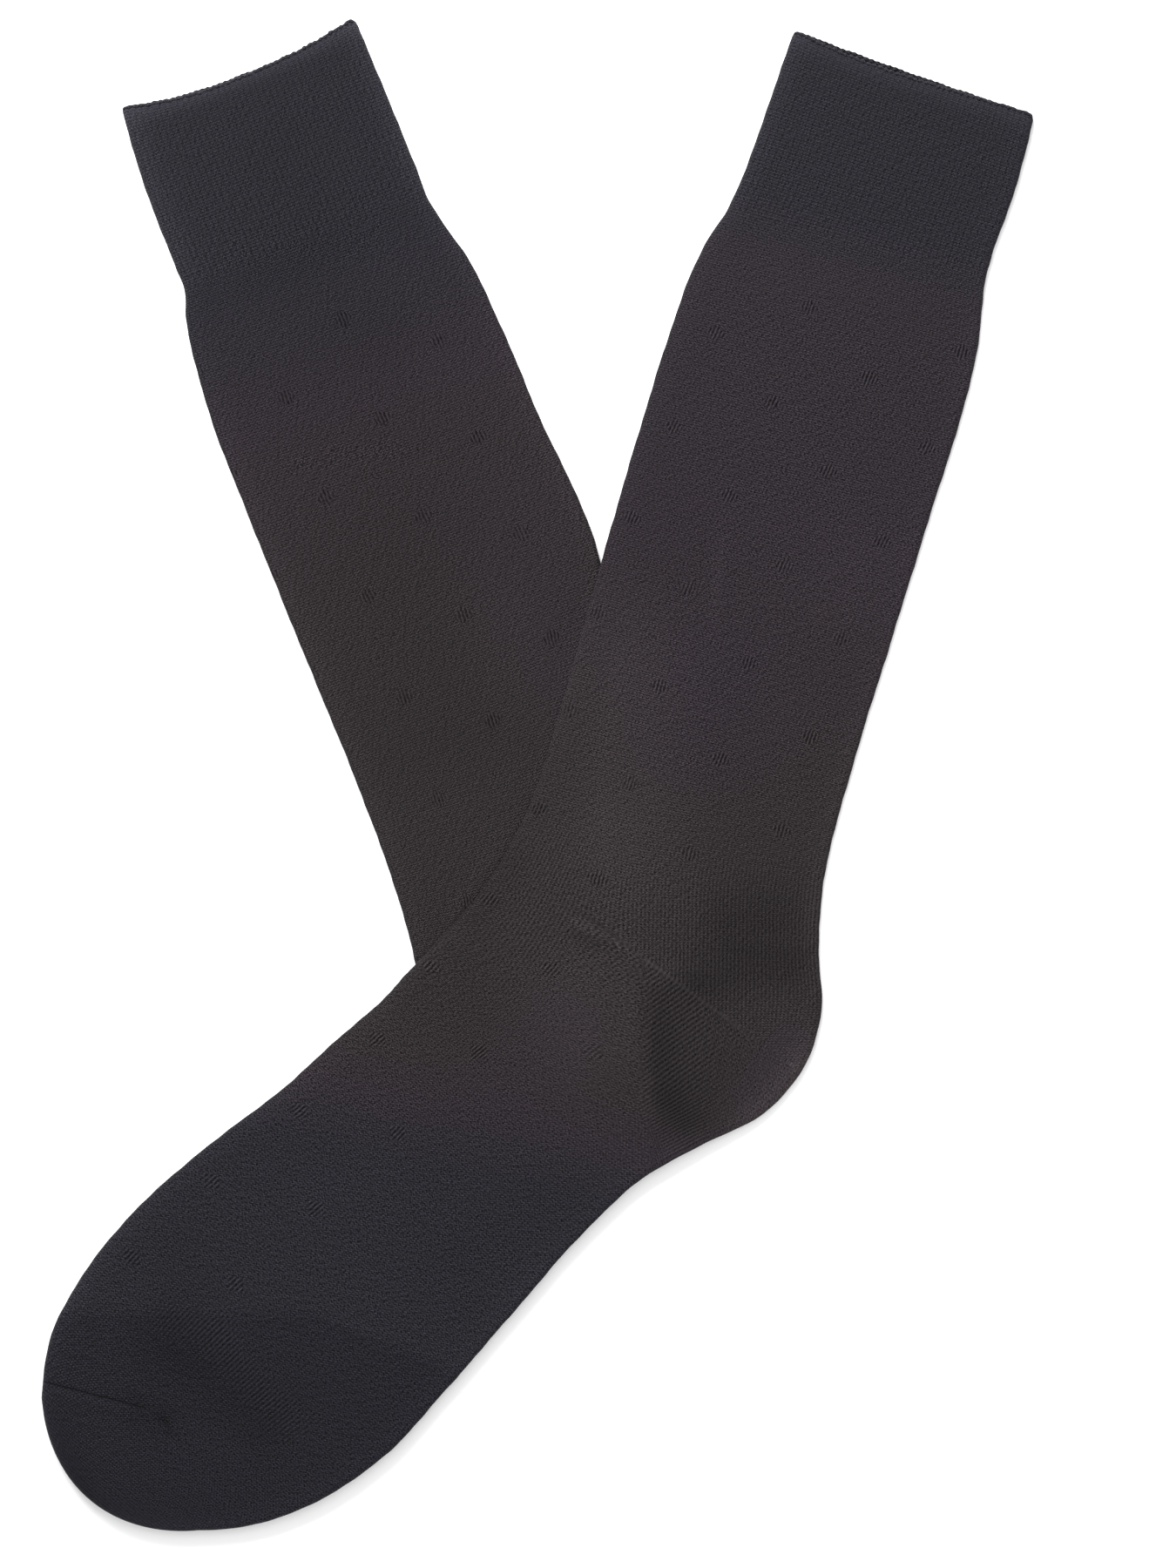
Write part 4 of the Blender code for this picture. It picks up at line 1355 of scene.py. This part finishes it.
def matt_paper(colour):
    """Matt white background paper, which takes a soft shadow and has no gloss.

    Its tone is uneven by a hundredth, in patches about 17 mm across.
    """
    material = bpy.data.materials.new("matt_white_background_paper")
    material.use_nodes = True
    tree = material.node_tree
    shader = tree.nodes["Principled BSDF"]
    make = partial(node, tree)
    here = make("TexCoord", output="Object")
    fibre = make("TexNoise", inputs={"Vector": here, "Scale": 60.0, "Detail": 4.0})
    tone = make("MULTIPLY_ADD", fibre, 0.01, 0.99)
    paper = make("VectorMath", colour[:3], inputs={"Scale": tone}, operation="SCALE")
    tree.links.new(paper, shader.inputs["Base Color"])
    shader.inputs["Roughness"].default_value = 0.95
    shader.inputs["Specular IOR Level"].default_value = 0.1
    return material


# --- Settings that a user would change ------------------------------------------------------


class SocksKnit(bpy.types.PropertyGroup):
    """How the socks are knitted"""

    wales: IntProperty(
        name="Stitches round",
        description="Stitches in one round of the sock",
        default=168,
        min=40,
    )
    cuff_course: FloatProperty(
        name="Cuff course",
        description="Height of one row of stitches in the cuff",
        default=0.88 * MM,
        precision=5,
        unit="LENGTH",
    )
    leg_course: FloatProperty(
        name="Leg course",
        description="Height of one row of stitches in the leg",
        default=0.74 * MM,
        precision=5,
        unit="LENGTH",
    )
    foot_course: FloatProperty(
        name="Foot course",
        description="Height of one row of stitches in the foot",
        default=0.79 * MM,
        precision=5,
        unit="LENGTH",
    )
    wall_share: FloatProperty(
        name="Cloth thickness",
        description="The cloth's thickness as a share of the part's wall",
        default=0.8,
        min=0.5,
        max=1.0,
        subtype="FACTOR",
    )
    fold_wave: FloatProperty(
        name="Uneven folds",
        description="How far the folded edges waver",
        default=0.12 * MM,
        precision=5,
        unit="LENGTH",
    )


class SocksColours(bpy.types.PropertyGroup):
    """The colours of the yarn and the background"""

    toe: FloatVectorProperty(
        name="Toe black",
        description="The reinforced yarn of the toe cap",
        default=hex_colour("#1d1c22"),
        size=4,
        min=0.0,
        max=1.0,
        subtype="COLOR",
    )
    cool: FloatVectorProperty(
        name="Cool black",
        description="The yarn at the cuff and in the foot",
        default=hex_colour("#1d1c21"),
        size=4,
        min=0.0,
        max=1.0,
        subtype="COLOR",
    )
    violet: FloatVectorProperty(
        name="Violet black",
        description="The yarn at the calf",
        default=hex_colour("#241f24"),
        size=4,
        min=0.0,
        max=1.0,
        subtype="COLOR",
    )
    warm: FloatVectorProperty(
        name="Warm black",
        description="The yarn at the ankle and the heel",
        default=hex_colour("#242021"),
        size=4,
        min=0.0,
        max=1.0,
        subtype="COLOR",
    )
    paper: FloatVectorProperty(
        name="Background",
        description="The surface that the socks lie on",
        default=hex_colour("#f6f6f6"),
        size=4,
        min=0.0,
        max=1.0,
        subtype="COLOR",
    )


# --- Operators ------------------------------------------------------------------------------


def dress(piece, material):
    """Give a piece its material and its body."""
    piece.data.materials.append(material)
    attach(piece, "root")


def yarn_material(context, sock):
    """The yarn of one sock, in the four blacks."""
    colours = context.scene.socks_colours
    name = "mercerised_cotton_knit_" + sock.node.split("_")[1]
    blacks = (colours.toe, colours.cool, colours.violet, colours.warm)
    return cotton_knit(name, blacks, sock.spot_start[0])


def lay_sock(context, sock, support):
    """A sock with its welt, in its yarn, laid on its support, and the part's sock hidden."""
    knit = context.scene.socks_knit
    piece, outer_rim, inner_rim = build_sock(sock, support, knit)
    welt = build_welt(sock, outer_rim, inner_rim, knit)
    zone = dict.fromkeys(ZONES, 0.0) | WELT_ZONE
    zone["light"] = WELT_LIGHT + WELT_MOUTH_LIGHT * sock.mouth.light
    for key, value in zone.items():
        point_attribute(welt, key, np.full(len(welt.data.vertices), value))
    material = yarn_material(context, sock)
    for made in (piece, welt):
        dress(made, material)
        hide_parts(sock.node)


class SOCKS_OT_back_sock(bpy.types.Operator):
    """Build the back sock, which lies on the surface"""

    bl_idname = "socks.back_sock"
    bl_label = "Back sock"

    def execute(self, context):
        lay_sock(context, BACK, on_floor)
        return {"FINISHED"}


class SOCKS_OT_front_sock(bpy.types.Operator):
    """Build the front sock, which lies across the back one"""

    bl_idname = "socks.front_sock"
    bl_label = "Front sock"

    def execute(self, context):
        lay_sock(context, FRONT, over_back_sock)
        return {"FINISHED"}


class SOCKS_OT_stage(bpy.types.Operator):
    """Lay the background paper and set the lights and the camera"""

    bl_idname = "socks.stage"
    bl_label = "Stage"

    def execute(self, context):
        scene = context.scene
        ways = [(-1, -1), (1, -1), (1, 1), (-1, 1)]
        corners = [(x * PAPER_HALF, y * PAPER_HALF, -PAPER_DROP) for x, y in ways]
        floor = new_piece("background_paper", np.array(corners) / MM, [(0, 1, 2, 3)])
        floor.data.materials.append(matt_paper(scene.socks_colours.paper))
        for light in LIGHTS:
            add_light(*light)
        scene.world = studio_world(TENT_LIGHT)
        scene.view_settings.view_transform = "Standard"
        scene.camera = overhead_camera(CAMERA_AIM, CAMERA_HEIGHT, PICTURE_HEIGHT)
        return {"FINISHED"}


def add_light(name, place, size, power):
    """A square soft light at a place in metres, turned to the middle of the surface."""
    light = bpy.data.lights.new(name, "AREA")
    light.size = size
    light.energy = power
    lamp = bpy.data.objects.new(name, light)
    lamp.location = place
    lamp.rotation_euler = (-Vector(place)).to_track_quat("-Z", "Y").to_euler()
    lamp.visible_camera = False
    bpy.context.scene.collection.objects.link(lamp)


def studio_world(strength):
    """Even white light from all round, as in a white studio tent."""
    world = bpy.data.worlds.new("studio_tent")
    world.use_nodes = True
    sky = world.node_tree.nodes["Background"]
    sky.inputs["Color"].default_value = (1.0, 1.0, 1.0, 1.0)
    sky.inputs["Strength"].default_value = strength
    return world


def overhead_camera(aim, height, long_side):
    """A long lens straight above a point, whose picture is long_side metres tall there."""
    data = bpy.data.cameras.new("overhead_camera")
    data.lens = data.sensor_width * height / long_side
    camera = bpy.data.objects.new("overhead_camera", data)
    camera.location = (aim[0], aim[1], aim[2] + height)
    bpy.context.scene.collection.objects.link(camera)
    return camera


class SOCKS_PT_panel(bpy.types.Panel):
    """The sidebar tab with the socks' settings and pieces"""

    bl_idname = "SOCKS_PT_panel"
    bl_label = "Socks"
    bl_space_type = "VIEW_3D"
    bl_region_type = "UI"
    bl_category = "Socks"

    def draw(self, context):
        layout = self.layout
        for settings in (context.scene.socks_knit, context.scene.socks_colours):
            for name in settings.__annotations__:
                layout.prop(settings, name)
        for operator in OPERATORS:
            layout.operator(operator.bl_idname)


OPERATORS = (SOCKS_OT_back_sock, SOCKS_OT_front_sock, SOCKS_OT_stage)
CLASSES = (SocksKnit, SocksColours, *OPERATORS, SOCKS_PT_panel)


def register():
    """Add the classes and the scene's two groups of settings."""
    for made in CLASSES:
        bpy.utils.register_class(made)
    bpy.types.Scene.socks_knit = PointerProperty(type=SocksKnit)
    bpy.types.Scene.socks_colours = PointerProperty(type=SocksColours)


def unregister():
    """Take them out again."""
    del bpy.types.Scene.socks_colours
    del bpy.types.Scene.socks_knit
    for made in reversed(CLASSES):
        bpy.utils.unregister_class(made)


def main():
    register()
    bpy.ops.socks.back_sock()
    bpy.ops.socks.front_sock()
    bpy.ops.socks.stage()
    bpy.context.view_layer.update()


if __name__ == "__main__":
    main()
